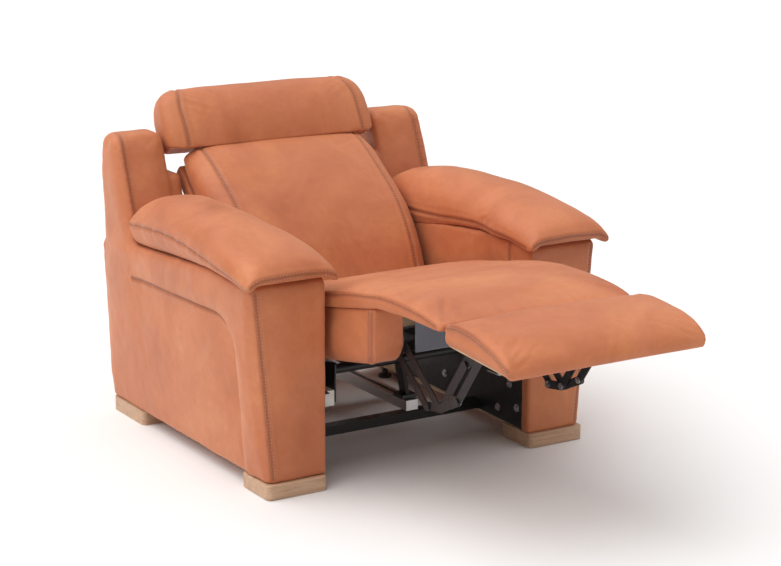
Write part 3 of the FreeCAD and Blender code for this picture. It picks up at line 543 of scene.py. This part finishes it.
def frames_along(path, tree):
    """Points with their tangent and the surface's normal."""
    rows = []
    for i, p in enumerate(path):
        ahead = path[min(i + 1, len(path) - 1)] - path[max(i - 1, 0)]
        if ahead.length < 1e-7:
            continue
        place, normal, _, _ = tree.find_nearest(p)
        rows.append((place, ahead.normalized(), normal))
    return rows


# Rings of one stitch: place along it, share of the thread's radius, lift in radii
STITCH_RINGS = ((-0.5, 0.35, -0.3), (-0.25, 0.9, 0.35), (0.25, 0.9, 0.35), (0.5, 0.35, -0.3))


def stitches(name, obj, paths, offsets=(-0.0042, 0.0042), pitch=0.0075, length=0.0048, radius=0.00062):
    """Rows of thread beside seams: each stitch is a small bowed spindle on the surface."""
    tree = surface(obj)
    points, faces = [], []
    ring = 5
    for path in paths:
        rows = frames_along(path, tree)
        for offset in offsets:
            since = pitch
            last = None
            for place, ahead, normal in rows:
                across = ahead.cross(normal).normalized()
                at = place + across * offset
                spot, facing, _, _ = tree.find_nearest(at)
                if last is not None:
                    since += (spot - last).length
                last = spot
                if since < pitch:
                    continue
                since = 0.0
                start = len(points)
                flat = across - facing * across.dot(facing)
                for t, share, lift in STITCH_RINGS:
                    middle = spot + ahead * (t * length) + facing * (radius * lift)
                    for k in range(ring):
                        turn = 2 * math.pi * k / ring
                        q = middle + flat.normalized() * (radius * share * math.cos(turn))
                        q = q + facing * (radius * share * math.sin(turn))
                        points.append((q.x, q.y - Y0, q.z))
                for i in range(3):
                    for k in range(ring):
                        a = start + i * ring + k
                        b = start + i * ring + (k + 1) % ring
                        faces.append((a, b, b + ring, a + ring))
                faces.append(tuple(start + k for k in reversed(range(ring))))
                faces.append(tuple(start + 3 * ring + k for k in range(ring)))
    return object_from(name, points, faces)


# ---- materials ---------------------------------------------------------------------------------------


class Nodes:
    """Short way to write a material's node tree."""

    def __init__(self, name, roughness, specular=0.5, metallic=0.0):
        self.material = bpy.data.materials.new(name)
        self.material.use_nodes = True
        self.tree = self.material.node_tree
        self.shader = self.tree.nodes["Principled BSDF"]
        self.shader.inputs["Roughness"].default_value = roughness
        self.shader.inputs["Specular IOR Level"].default_value = specular
        self.shader.inputs["Metallic"].default_value = metallic

    def add(self, kind, **inputs):
        node = self.tree.nodes.new(kind)
        for key, value in inputs.items():
            if key.startswith("_"):
                setattr(node, key[1:], value)
            else:
                self.put(node.inputs[key.replace("__", " ")], value)
        return node

    def put(self, socket, value):
        if isinstance(value, bpy.types.NodeSocket):
            self.tree.links.new(value, socket)
        else:
            socket.default_value = value

    def place(self, attribute=None):
        if attribute:
            return self.add("ShaderNodeAttribute", _attribute_name=attribute).outputs["Vector"]
        return self.add("ShaderNodeTexCoord").outputs["Object"]

    def noise(self, where, scale, detail=3.0, rough=0.55, distortion=0.0):
        node = self.add(
            "ShaderNodeTexNoise", Vector=where, Scale=scale, Detail=detail, Roughness=rough,
            Distortion=distortion)
        return node.outputs["Fac"]

    def stretch(self, where, scale):
        return self.add("ShaderNodeMapping", Vector=where, Scale=scale).outputs["Vector"]

    def ramp(self, value, stops):
        node = self.add("ShaderNodeValToRGB", Fac=value)
        while len(node.color_ramp.elements) < len(stops):
            node.color_ramp.elements.new(0.5)
        for element, (position, colour) in zip(node.color_ramp.elements, stops):
            element.position = position
            element.color = (*colour, 1.0) if hasattr(colour, "__len__") else (colour, colour, colour, 1.0)
        return node.outputs["Color"]

    def maths(self, operation, a, b=0.0, c=0.0):
        node = self.add("ShaderNodeMath", _operation=operation)
        for socket, value in zip(node.inputs, (a, b, c)):
            self.put(socket, value)
        return node.outputs["Value"]

    def mix(self, factor, a, b, blend="MIX"):
        node = self.add("ShaderNodeMix", _data_type="RGBA", _blend_type=blend)
        self.put(node.inputs[0], factor)
        for socket, value in ((node.inputs[6], a), (node.inputs[7], b)):
            self.put(socket, value if isinstance(value, bpy.types.NodeSocket) else (*value, 1.0))
        return node.outputs[2]

    def bump(self, height, strength, distance, normal=None):
        node = self.add("ShaderNodeBump", Height=height, Strength=strength, Distance=distance)
        if normal is not None:
            self.put(node.inputs["Normal"], normal)
        return node.outputs["Normal"]

    def finish(self, colour=None, roughness=None, normal=None):
        for key, value in (("Base Color", colour), ("Roughness", roughness), ("Normal", normal)):
            if value is not None:
                self.put(self.shader.inputs[key], value)
        return self.material


def leather(name="tan_leather"):
    """Cognac nubuck-like leather: clouded, with painted shade darkening the seams, fine pebble grain, satin
    where worn.
    """
    n = Nodes(name, 0.5, specular=0.35)
    where = n.place("rest")
    cloud = n.noise(where, 3.2, 4.0, 0.6, 0.6)
    patch = n.noise(where, 9.0, 5.0, 0.62, 0.4)
    mottle = n.noise(where, 60.0, 3.0, 0.6)
    tan_shades = [(0.30, (0.400, 0.112, 0.044)), (0.50, (0.510, 0.160, 0.062)), (0.70, (0.610, 0.226, 0.090))]
    base = n.ramp(cloud, tan_shades)
    worn = n.mix(n.ramp(patch, [(0.38, 0.0), (0.72, 0.6)]), base, (0.560, 0.192, 0.094))
    fine = n.mix(n.ramp(mottle, [(0.35, 0.0), (0.75, 0.26)]), worn, (0.400, 0.120, 0.050))
    # painted shade: dark brown mixed into the seam grooves by the crease attribute, standing in for the shade
    # in them
    crease = n.add("ShaderNodeAttribute", _attribute_name="crease").outputs["Fac"]
    colour = n.mix(n.maths("MULTIPLY", crease, 0.62), fine, (0.230, 0.070, 0.036))
    rough = n.ramp(patch, [(0.30, 0.42), (0.70, 0.60)])
    cells = n.add("ShaderNodeTexVoronoi", Vector=where, Scale=520.0, _feature="SMOOTH_F1")
    pebble = cells.outputs["Distance"]
    pores = n.noise(where, 900.0, 2.0, 0.5)
    soft = n.bump(n.noise(where, 26.0, 4.0, 0.6), 0.16, 0.004)
    grain = n.bump(n.maths("ADD", pebble, n.maths("MULTIPLY", pores, 0.5)), 0.14, 0.0006, soft)
    n.shader.inputs["Sheen Weight"].default_value = 0.22
    n.shader.inputs["Sheen Roughness"].default_value = 0.45
    n.shader.inputs["Sheen Tint"].default_value = (1.0, 0.72, 0.56, 1.0)
    return n.finish(colour, rough, grain)


def thread():
    n = Nodes("thread", 0.6)
    where = n.place()
    colour = n.ramp(n.noise(where, 300.0), [(0.3, (0.56, 0.24, 0.13)), (0.7, (0.74, 0.38, 0.24))])
    return n.finish(colour, None, n.bump(n.noise(where, 2500.0), 0.3, 0.0003))


def wood():
    """Light beech with its grain along X."""
    n = Nodes("light_beech", 0.42)
    where = n.place()
    lines = n.noise(n.stretch(where, (5.0, 70.0, 110.0)), 1.0, 6.0, 0.62, 1.2)
    flecks = n.noise(n.stretch(where, (60.0, 700.0, 700.0)), 1.0, 2.0)
    shades = [(0.30, (0.400, 0.235, 0.140)), (0.50, (0.520, 0.330, 0.210)), (0.72, (0.610, 0.410, 0.270))]
    base = n.ramp(lines, shades)
    colour = n.mix(n.ramp(flecks, [(0.56, 0.0), (0.72, 0.45)]), base, (0.300, 0.165, 0.090))
    rough = n.ramp(lines, [(0.3, 0.38), (0.7, 0.52)])
    return n.finish(colour, rough, n.bump(lines, 0.10, 0.0008))


def plywood():
    n = Nodes("raw_board", 0.7)
    where = n.place()
    lines = n.noise(n.stretch(where, (4.0, 6.0, 60.0)), 1.0, 5.0, 0.6, 0.8)
    colour = n.ramp(lines, [(0.3, (0.46, 0.33, 0.20)), (0.6, (0.60, 0.46, 0.30)), (0.8, (0.66, 0.53, 0.37))])
    return n.finish(colour, None, n.bump(n.noise(where, 300.0), 0.2, 0.0006))


def painted_steel():
    n = Nodes("black_steel", 0.38, specular=0.5)
    where = n.place()
    scuff = n.ramp(n.noise(where, 30.0, 5.0, 0.65), [(0.55, 0.0), (0.80, 0.5)])
    colour = n.mix(scuff, (0.012, 0.012, 0.013), (0.045, 0.044, 0.043))
    rough = n.ramp(n.noise(where, 80.0, 4.0), [(0.3, 0.28), (0.7, 0.50)])
    return n.finish(colour, rough, n.bump(n.noise(where, 700.0), 0.12, 0.0004))


def bright_steel():
    n = Nodes("zinc_steel", 0.3, metallic=1.0)
    where = n.place()
    spangle = n.add("ShaderNodeTexVoronoi", Vector=where, Scale=160.0).outputs["Distance"]
    colour = n.ramp(spangle, [(0.1, (0.46, 0.46, 0.47)), (0.6, (0.66, 0.66, 0.67))])
    rough = n.ramp(n.noise(where, 120.0), [(0.3, 0.22), (0.7, 0.42)])
    return n.finish(colour, rough, n.bump(n.noise(where, 900.0), 0.1, 0.0003))


def aluminium():
    n = Nodes("drawn_aluminium", 0.4, metallic=1.0)
    where = n.place()
    draw = n.noise(n.stretch(where, (900.0, 4.0, 900.0)), 1.0, 3.0)
    colour = n.ramp(draw, [(0.3, (0.52, 0.52, 0.53)), (0.7, (0.68, 0.68, 0.69))])
    return n.finish(colour, n.ramp(draw, [(0.3, 0.32), (0.7, 0.5)]), n.bump(draw, 0.1, 0.0003))


def plastic(name, dark, light, roughness):
    n = Nodes(name, roughness)
    where = n.place()
    colour = n.mix(n.ramp(n.noise(where, 40.0, 4.0), [(0.4, 0.0), (0.7, 1.0)]), dark, light)
    rough = n.ramp(n.noise(where, 90.0, 3.0), [(0.3, roughness - 0.06), (0.7, roughness + 0.06)])
    return n.finish(colour, rough, n.bump(n.noise(where, 1400.0, 2.0), 0.25, 0.0003))


def lining_cloth():
    """Grey non-woven sheet with pressed dots."""
    n = Nodes("grey_lining", 0.85, specular=0.25)
    where = n.place()
    fibres = n.noise(where, 420.0, 4.0, 0.7, 1.5)
    dots = n.add("ShaderNodeTexVoronoi", Vector=where, Scale=260.0).outputs["Distance"]
    colour = n.ramp(fibres, [(0.3, (0.115, 0.130, 0.155)), (0.7, (0.185, 0.205, 0.240))])
    return n.finish(colour, None, n.bump(n.maths("ADD", fibres, dots), 0.5, 0.0006))


def belt_weave():
    n = Nodes("woven_belt", 0.8, specular=0.25)
    where = n.place()
    waves = n.add(
        "ShaderNodeTexWave", Vector=where, Scale=260.0, Distortion=0.6, _bands_direction="DIAGONAL")
    weave = waves.outputs["Fac"]
    colour = n.ramp(weave, [(0.2, (0.02, 0.02, 0.02)), (0.8, (0.10, 0.10, 0.10))])
    return n.finish(colour, None, n.bump(weave, 0.6, 0.0006))


def floor_paint():
    n = Nodes("pale_floor", 0.75, specular=0.15)
    where = n.place()
    colour = n.ramp(n.noise(where, 1.2, 3.0), [(0.3, (0.835, 0.840, 0.850)), (0.7, (0.855, 0.860, 0.870))])
    return n.finish(colour, None, n.bump(n.noise(where, 150.0), 0.03, 0.0005))


LEATHER = leather()
THREAD = thread()
WOOD = wood()
BOARD = plywood()
STEEL = painted_steel()
ZINC = bright_steel()
ALU = aluminium()
BLACK = plastic("black_plastic", (0.014, 0.014, 0.015), (0.03, 0.03, 0.03), 0.45)
NYLON = plastic("nylon", (0.70, 0.69, 0.64), (0.78, 0.77, 0.73), 0.4)
BUTTON = plastic("silver_button", (0.38, 0.38, 0.39), (0.46, 0.46, 0.47), 0.28)
LINING = lining_cloth()
BELT = belt_weave()

NODE_FINISH = {
    "arm_inner_boards": BOARD, "arm_frames": BOARD,
    "front_feet": WOOD, "rear_feet": WOOD, "rear_glides": BLACK,
    "base_side_plates": STEEL, "seat_tracks": STEEL, "base_bolts": ZINC, "front_cross_rail": STEEL,
    "rear_cross_rail": STEEL, "actuator_rail": ALU, "actuator_motor": BLACK, "control_box": BLACK,
    "power_inlet": BLACK, "switch_plate": BLACK, "open_button": BUTTON, "close_button": BUTTON,
    "seat_front_board": BOARD, "seat_rear_board": BOARD, "seat_link_plates": STEEL, "seat_link_pins": ZINC,
    "seat_cross_tube": STEEL, "carriage_plates": STEEL, "slide_shoes": NYLON, "drive_bracket": STEEL,
    "recline_brackets": STEEL, "recline_shaft": ZINC, "recline_motor": BLACK, "footrest_board": BOARD,
    "footrest_brackets": STEEL, "main_links": STEEL, "main_link_pins": ZINC, "guide_links": STEEL,
    "guide_link_pins": ZINC, "middle_links": STEEL, "middle_link_pins": ZINC, "front_links": STEEL,
    "front_link_pins": ZINC, "back_frame": BOARD, "recline_arms": STEEL, "headrest_brackets": STEEL,
    "headrest_pin": ZINC, "headrest_plate": BOARD,
}
for node_name, material in NODE_FINISH.items():
    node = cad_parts[node_name]
    for place in node.material_slots:
        place.material = material


def dress(obj, material, body=None):
    obj.data.materials.clear()
    obj.data.materials.append(material)
    remember_rest(obj)
    if body:
        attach(obj, body)
    return obj


def soft_piece(obj, body, replaced):
    dress(obj, LEATHER, body)
    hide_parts(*replaced)


# ---- arms and wings ----------------------------------------------------------------------------------


def hold_nothing(co):
    return np.zeros(len(co), bool)


def make_sides():
    right = shape("side_right", side_field, (0.29, -0.03, 0.02), (0.60, 1.03, 0.85))
    front_seam = [(arm_outer(z) - 0.017, -0.01, z) for z in np.linspace(0.05, 0.548, 12)]
    wing_seam = [(0.474, wing_front(z) - 0.01, z) for z in np.linspace(0.600, 0.775, 8)]
    wing_seam += [(0.470, 0.90, 0.83)]
    crease = [(arm_outer(0.42, y), y, float(SIDE_CREASE(y))) for y in np.linspace(0.74, 0.19, 12)]
    crease += [(0.53, 0.145, 0.425), (0.53, 0.128, 0.38), (0.52, 0.124, 0.30), (0.51, 0.124, 0.20)]
    inner_seam = [(FACING_X, 0.100, z) for z in np.linspace(0.31, 0.552, 8)]
    rear_seam = []
    for z in np.linspace(0.05, 0.72, 14):
        rear_seam.append((arm_outer(z, 0.96) - 0.010, 0.975 + 0.04 * (z - 0.3), z))
    rear_seam += [(0.478, 0.985, 0.79)]
    guides = [front_seam, wing_seam, crease, inner_seam, rear_seam]

    def held(co):
        y, z = co[:, 1] - Y0, co[:, 2]
        inside = co[:, 0] < ARM_INNER + 0.03
        return inside | (z < FOOT_Z + 0.012) | ((np.abs(z - arm_top(y)) < 0.014) & (y < wing_front(z)))

    inflate(right, [path_on(right, g) for g in guides], held, cap=0.005, pressure=2.5)
    refine(right)
    left = mirrored(right, "side_left")
    for obj, side in ((right, 1), (left, -1)):
        wrinkle(obj, 0.0016, 0.09, seed=3.0 + side, stretch=(1, 1, 2.2))
        wrinkle(obj, 0.0009, 0.035, seed=8.0 + side)
        lines = [path_on(obj, g, side=side) for g in guides]
        for line in lines[:2] + lines[3:]:
            seam(obj, line)
        seam(obj, lines[2][: int(len(lines[2]) * 0.72)], depth=0.004, width=0.0045, roll=0.0018)
        name = "right" if side > 0 else "left"
        soft_piece(obj, "base", ["arm_cover_" + name, "wing_" + name])
        rows = stitches("side_stitches_" + name, obj, [lines[0], lines[1], lines[4]])
        dress(rows, THREAD, "base")


def make_pillows():
    right = shape("pillow_right", pillow_field, (0.26, -0.06, 0.48), (0.59, 0.82, 0.72), 0.006)
    gusset = [(0.520, 0.775, 0.577), (0.530, 0.65, 0.592), (0.545, 0.5, 0.602), (0.56, 0.36, 0.601),
              (0.57, 0.24, 0.593), (0.575, 0.12, 0.578), (0.570, 0.03, 0.563), (0.556, -0.02, 0.556)]
    front = [(0.545, -0.04, 0.566), (0.50, -0.05, 0.578), (0.42, -0.05, 0.582), (0.35, -0.05, 0.578),
             (0.305, -0.04, 0.568)]
    inner = [(0.28, 0.00, 0.560), (0.28, 0.12, 0.572), (0.28, 0.26, 0.575), (0.285, 0.40, 0.565),
             (0.29, 0.60, 0.560), (0.29, 0.74, 0.567)]
    guides = [gusset, front, inner]

    def held(co):
        return co[:, 2] < arm_top(co[:, 1] - Y0) + 0.004

    inflate(right, [path_on(right, g) for g in guides], held, cap=0.008, pressure=3.0)
    refine(right)
    left = mirrored(right, "pillow_left")
    for obj, side in ((right, 1), (left, -1)):
        wrinkle(obj, 0.0020, 0.11, seed=5.0 + side)
        lines = [path_on(obj, g, side=side) for g in guides]
        for line in lines:
            seam(obj, line, depth=0.0026, width=0.004)
        name = "right" if side > 0 else "left"
        soft_piece(obj, "base", ["arm_pillow_" + name])
        above = 0.0055 * side
        rows = stitches("pillow_stitches_" + name, obj, [lines[0], lines[1]], offsets=(above, -above))
        dress(rows, THREAD, "base")


# ---- seat --------------------------------------------------------------------------------------------


def make_seat_sides():
    right = shape("seat_side_cover_right", seat_side_field, (0.17, -0.22, 0.20), (0.31, 0.46, 0.55), 0.006)
    corner = [(0.29, -0.158, z) for z in np.linspace(0.50, 0.365, 8)]

    def held(co):
        return (co[:, 0] < 0.21) | (co[:, 2] > seat_plane(co[:, 1] - Y0, -0.012)) | (co[:, 1] - Y0 > 0.40)

    inflate(right, [path_on(right, corner)], held, cap=0.006, pressure=2.5)
    refine(right)
    left = mirrored(right, "seat_side_cover_left")
    for obj, side in ((right, 1), (left, -1)):
        wrinkle(obj, 0.0014, 0.05, seed=2.0 + side, stretch=(1, 1, 2.5))
        line = path_on(obj, corner, side=side)
        second = path_on(obj, [(p[0], p[1] - 0.013, p[2]) for p in corner], side=side)
        seam(obj, line, depth=0.003, width=0.0035, roll=0.002)
        seam(obj, second, depth=0.003, width=0.0035, roll=0.002)
        name = "right" if side > 0 else "left"
        soft_piece(obj, "seat", ["seat_side_" + name])
        rows = stitches("seat_side_stitches_" + name, obj, [line], offsets=(0.0,))
        dress(rows, THREAD, "seat")


def make_chaise():
    pad = shape("chaise", chaise_field, (-0.33, -0.51, 0.37), (0.33, 0.47, 0.60), 0.0065)
    edges = []
    for side in (1, -1):
        edges.append([(side * 0.30, y, float(CHAISE_TOP(y)) - 0.017) for y in np.linspace(-0.455, 0.40, 24)])
    front = [(x, -0.49, 0.540) for x in np.linspace(-0.27, 0.27, 12)]

    def held(co):
        y = co[:, 1] - Y0
        under = np.where(y > -0.19, seat_plane(y, 0.006), 0.524)
        return (co[:, 2] < under) | (y > 0.30)

    inflate(pad, [path_on(pad, e) for e in edges + [front]], held, cap=0.007, pressure=2.5)
    refine(pad)

    def near_corner(x, y, z):
        return (z > CHAISE_TOP(y) - 0.01) * bump(x, -0.13, 0.13) * bump(y, -0.16, 0.12)

    def on_top(x, y, z):
        return (z > CHAISE_TOP(y) - 0.012) * step(0.29 - np.abs(x), 0.0, 0.05) * (1 - step(y, 0.18, 0.32))

    def at_valley(x, y, z):
        return (z > CHAISE_TOP(y) - 0.012) * bump(y, -0.45, 0.035) * (1 - 0.5 * bump(x, 0, 0.2))

    wrinkle(pad, 0.0075, 0.030, near_corner, seed=1.0, stretch=(6, 1, 3))
    wrinkle(pad, 0.0030, 0.055, on_top, seed=4.0, stretch=(5, 1, 3))
    wrinkle(pad, 0.0025, 0.022, at_valley, seed=6.0, stretch=(1, 3, 3))
    lines = [path_on(pad, e) for e in edges]
    for line in lines:
        seam(pad, line, depth=0.0024, width=0.0038)
    dress(pad, LEATHER)
    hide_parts("seat_cushion", "chaise_pad")
    rows = stitches("chaise_stitches", pad, lines, offsets=(0.005,))
    dress(rows, THREAD)
    for piece in (pad, rows):
        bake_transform(piece)


def make_footrest():
    pad = shape("footrest_cover", footrest_field, (-0.32, -0.80, 0.44), (0.32, -0.44, 0.59), 0.006)
    arcs = []
    for side in (1, -1):
        arcs.append([(side * 0.29, y, float(FOOT_SEAM(y))) for y in np.linspace(-0.484, -0.757, 16)])

    def held(co):
        return co[:, 2] < pad_under(co[:, 1] - Y0) + 0.004

    inflate(pad, [path_on(pad, a) for a in arcs], held, cap=0.006, pressure=2.5)
    refine(pad)
    wrinkle(pad, 0.0022, 0.07, seed=7.0, stretch=(3, 1, 1))
    lines = [path_on(pad, a) for a in arcs]
    for line in lines:
        seam(pad, line, depth=0.0035, width=0.004, roll=0.0022)
    for line in lines:
        above = [p + Vector((0, 0, 0.010)) for p in line[8:]]
        seam(pad, above, depth=0.0012, width=0.003, roll=0.0008)
    soft_piece(pad, "footrest", ["footrest_pad"])
    rows = stitches("footrest_stitches", pad, lines, offsets=(0.0055, -0.0055))
    dress(rows, THREAD, "footrest")


def make_back():
    pad = shape("back_cushion_cover", back_field, (-0.34, 0.30, 0.28), (0.34, 0.95, 0.84), 0.0075)
    bands = []
    for side in (1, -1):
        line = [lean_point(side * 0.252, u, float(BACK_FRONT(u)) + 0.004, BACK_ORIGIN, BACK_LEAN)
                for u in np.linspace(0.478, -0.03, 16)]
        bands.append(line)
    crown = [lean_point(x, 0.487, 0.030, BACK_ORIGIN, BACK_LEAN) for x in np.linspace(-0.28, 0.28, 14)]

    def held(co):
        u, w = lean_axes(co[:, 1] - Y0, co[:, 2], BACK_ORIGIN, BACK_LEAN)
        return (w < 0.022) | (u < 0.060) | (np.abs(co[:, 0]) > 0.288)

    inflate(pad, [path_on(pad, b) for b in bands + [crown]], held, cap=0.010, pressure=3.0)
    refine(pad)

    def at_tuck(x, y, z):
        u, w = lean_axes(y, z, BACK_ORIGIN, BACK_LEAN)
        return (bump(x, -0.25, 0.05) + bump(x, 0.25, 0.05)) * bump(u, 0.47, 0.035) * (w > 0.02)

    wrinkle(pad, 0.0025, 0.14, seed=9.0)
    wrinkle(pad, 0.0040, 0.022, at_tuck, seed=11.0, stretch=(2.5, 1, 1))
    lines = [path_on(pad, b) for b in bands]
    for line in lines:
        seam(pad, line, depth=0.0030, width=0.0045, roll=0.0016)
    soft_piece(pad, "back", ["back_cushion"])
    rows = stitches("back_stitches", pad, lines)
    dress(rows, THREAD, "back")

    shell = shape("back_shell_cover", shell_field, (-0.33, 0.40, 0.28), (0.33, 1.02, 0.80), 0.0075)
    rim = []
    for x, u in [(-0.286, -0.07), (-0.286, 0.472), (0.286, 0.472), (0.286, -0.07)]:
        rim.append(lean_point(x, u, -0.066, BACK_ORIGIN, BACK_LEAN))

    def shell_held(co):
        u, w = lean_axes(co[:, 1] - Y0, co[:, 2], BACK_ORIGIN, BACK_LEAN)
        return w > -0.02

    inflate(shell, [path_on(shell, rim, loop=True)], shell_held, cap=0.006, pressure=2.5)
    refine(shell)
    wrinkle(shell, 0.0018, 0.12, seed=12.0)
    line = path_on(shell, rim, loop=True)
    seam(shell, line)
    soft_piece(shell, "back", ["back_shell"])
    rows = stitches("back_shell_stitches", shell, [line])
    dress(rows, THREAD, "back")


def make_headrest():
    pad = shape("headrest_cover", head_field, (-0.37, 0.76, 0.66), (0.37, 1.12, 0.97), 0.0065)
    bands = []
    for side in (1, -1):
        line = []
        for u in np.linspace(-0.004, 0.185, 10):
            x = side * (0.285 - 0.022 * step(u, 0.1, 0.2))
            line.append(lean_point(x, u, float(HEAD_FRONT(u)) + 0.004, HEAD_ORIGIN, HEAD_LEAN))
        for u, w in ((0.205, 0.03), (0.205, 0.0), (0.16, -0.03), (0.03, -0.03)):
            line.append(lean_point(side * 0.262, u, w, HEAD_ORIGIN, HEAD_LEAN))
        bands.append(line)

    def held(co):
        u, w = lean_axes(co[:, 1] - Y0, co[:, 2], HEAD_ORIGIN, HEAD_LEAN)
        return (u < HEAD_UNDER(w) + 0.008) | (np.abs(co[:, 0]) > 0.318)

    inflate(pad, [path_on(pad, b) for b in bands], held, cap=0.007, pressure=3.0)
    refine(pad)
    wrinkle(pad, 0.0022, 0.10, seed=14.0)
    lines = [path_on(pad, b) for b in bands]
    for line in lines:
        seam(pad, line, depth=0.0030, width=0.0045, roll=0.0016)
    soft_piece(pad, "headrest", ["headrest_pad"])
    rows = stitches("headrest_stitches", pad, lines)
    dress(rows, THREAD, "headrest")


def make_rear_panel():
    panel = shape("rear_panel_cover", rear_panel_field, (-0.34, 0.88, 0.04), (0.34, 0.97, 0.40), 0.0065)

    def held(co):
        return co[:, 1] - Y0 < 0.922

    rim = [(-0.308, 0.95, 0.075), (-0.308, 0.95, 0.358), (0.308, 0.95, 0.358), (0.308, 0.95, 0.075)]
    inflate(panel, [path_on(panel, rim, loop=True)], held, cap=0.004, pressure=2.0)
    refine(panel)
    wrinkle(panel, 0.0012, 0.10, seed=15.0)
    line = path_on(panel, rim, loop=True)
    seam(panel, line)
    soft_piece(panel, "base", ["rear_lower_panel"])
    rows = stitches("rear_panel_stitches", panel, [line])
    dress(rows, THREAD, "base")


def sheet_grid(name, width, height, place, thickness, columns=60, rows=24):
    """Thin sheet over a grid of (s, t) from 0 to 1 placed by a function, with its two faces."""
    points, faces = [], []
    for layer in (0, 1):
        for j in range(rows + 1):
            for i in range(columns + 1):
                x, y, z = place(i / columns, j / rows)
                points.append((x, y + layer * thickness, z))
    count = (columns + 1) * (rows + 1)

    def at(layer, i, j):
        return layer * count + j * (columns + 1) + i

    for j in range(rows):
        for i in range(columns):
            faces.append((at(0, i, j), at(0, i + 1, j), at(0, i + 1, j + 1), at(0, i, j + 1)))
            faces.append((at(1, i, j), at(1, i, j + 1), at(1, i + 1, j + 1), at(1, i + 1, j)))
    for i in range(columns):
        faces.append((at(0, i + 1, 0), at(0, i, 0), at(1, i, 0), at(1, i + 1, 0)))
        faces.append((at(0, i, rows), at(0, i + 1, rows), at(1, i + 1, rows), at(1, i, rows)))
    for j in range(rows):
        faces.append((at(0, 0, j), at(0, 0, j + 1), at(1, 0, j + 1), at(1, 0, j)))
        faces.append((at(0, columns, j + 1), at(0, columns, j), at(1, columns, j), at(1, columns, j + 1)))
    return object_from(name, points, faces)


def make_lining():
    low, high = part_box("front_lining")
    width = high.x - low.x
    height = high.z - low.z

    def place(s, t):
        fold = noise.noise(Vector((s * 5.0, t * 1.3, 0.3))) * 0.004
        fold = fold * math.sin(math.pi * t) * math.sin(math.pi * s)
        return (low.x + s * width, low.y - Y0 + fold, low.z + t * height)

    sheet = sheet_grid("lining_sheet", width, height, place, 0.001)
    dress(sheet, LINING, "seat")
    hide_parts("front_lining")


def make_belts():
    """Six elastic belts across the seat, a little slack under the cushion."""
    low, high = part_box("seat_webbing")
    count = 6
    belt_width = 0.050
    pitch = (high.y - low.y - belt_width) / (count - 1)
    slope = (high.z - low.z - 0.002) / (high.y - low.y)
    for k in range(count):
        start = low.y - Y0 + k * pitch
        points, faces = [], []
        columns = 30
        for layer in (0.0, 0.0016):
            for i in range(columns + 1):
                s = i / columns
                for across in range(5):
                    y = start + belt_width * across / 4
                    z = high.z - 0.002 - (y - low.y + Y0) * slope - 0.004 * math.sin(math.pi * s) + layer
                    points.append((low.x + s * (high.x - low.x), y, z))
        half = (columns + 1) * 5
        for i in range(columns):
            for a in range(4):
                p = i * 5 + a
                faces.append((p, p + 1, p + 6, p + 5))
                faces.append((half + p, half + p + 5, half + p + 6, half + p + 1))
            for a, flip in ((0, False), (4, True)):
                p = i * 5 + a
                quad = (p, p + 5, half + p + 5, half + p)
                faces.append(tuple(reversed(quad)) if flip else quad)
        for a in range(4):
            faces.append((a + 1, a, half + a, half + a + 1))
            p = columns * 5 + a
            faces.append((p, p + 1, half + p + 1, half + p))
        belt = object_from(f"seat_belt_{k + 1}", points, faces)
        dress(belt, BELT, "seat")
        if k == 0:
            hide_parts("seat_webbing")


make_sides()
make_pillows()
make_seat_sides()
make_chaise()
make_footrest()
make_back()
make_headrest()
make_rear_panel()
make_lining()
make_belts()

# ---- floor, light and camera -------------------------------------------------------------------------

bpy.ops.mesh.primitive_plane_add(size=80, location=(0, 0, -0.0005))
floor = bpy.context.object
floor.name = "floor"
floor.data.materials.append(floor_paint())

scene = bpy.context.scene
scene.view_settings.view_transform = "Standard"
world = bpy.data.worlds.new("studio")
world.use_nodes = True
world.node_tree.nodes["Background"].inputs["Color"].default_value = (1.0, 0.985, 0.97, 1.0)
world.node_tree.nodes["Background"].inputs["Strength"].default_value = 0.34
scene.world = world


def sun(name, towards, strength, softness, colour):
    data = bpy.data.lights.new(name, "SUN")
    data.energy = strength
    data.angle = math.radians(softness)
    data.color = colour
    lamp = bpy.data.objects.new(name, data)
    lamp.rotation_mode = "QUATERNION"
    lamp.rotation_quaternion = Vector(towards).to_track_quat("Z", "Y")
    scene.collection.objects.link(lamp)


sun("key", (-0.62, 0.16, 1.0), 2.2, 75, (1.0, 0.98, 0.95))
sun("top", (0.0, 0.0, 1.0), 1.4, 120, (1.0, 0.99, 0.98))

IMAGE_WIDTH = 781
FOCAL_PX = 2100.0
AZIMUTH = math.radians(-31.588)
ELEVATION = math.radians(13.856)
data = bpy.data.cameras.new("camera")
data.sensor_width = 36.0
data.lens = FOCAL_PX * data.sensor_width / IMAGE_WIDTH
data.clip_end = 200.0
camera = bpy.data.objects.new("camera", data)
camera.location = (-2.8614, -4.4473 + Y0, 1.8100)
level = math.cos(ELEVATION)
backwards = Vector((math.sin(AZIMUTH) * level, -math.cos(AZIMUTH) * level, math.sin(ELEVATION)))
camera.rotation_mode = "QUATERNION"
camera.rotation_quaternion = backwards.to_track_quat("Z", "Y")
scene.collection.objects.link(camera)
scene.camera = camera
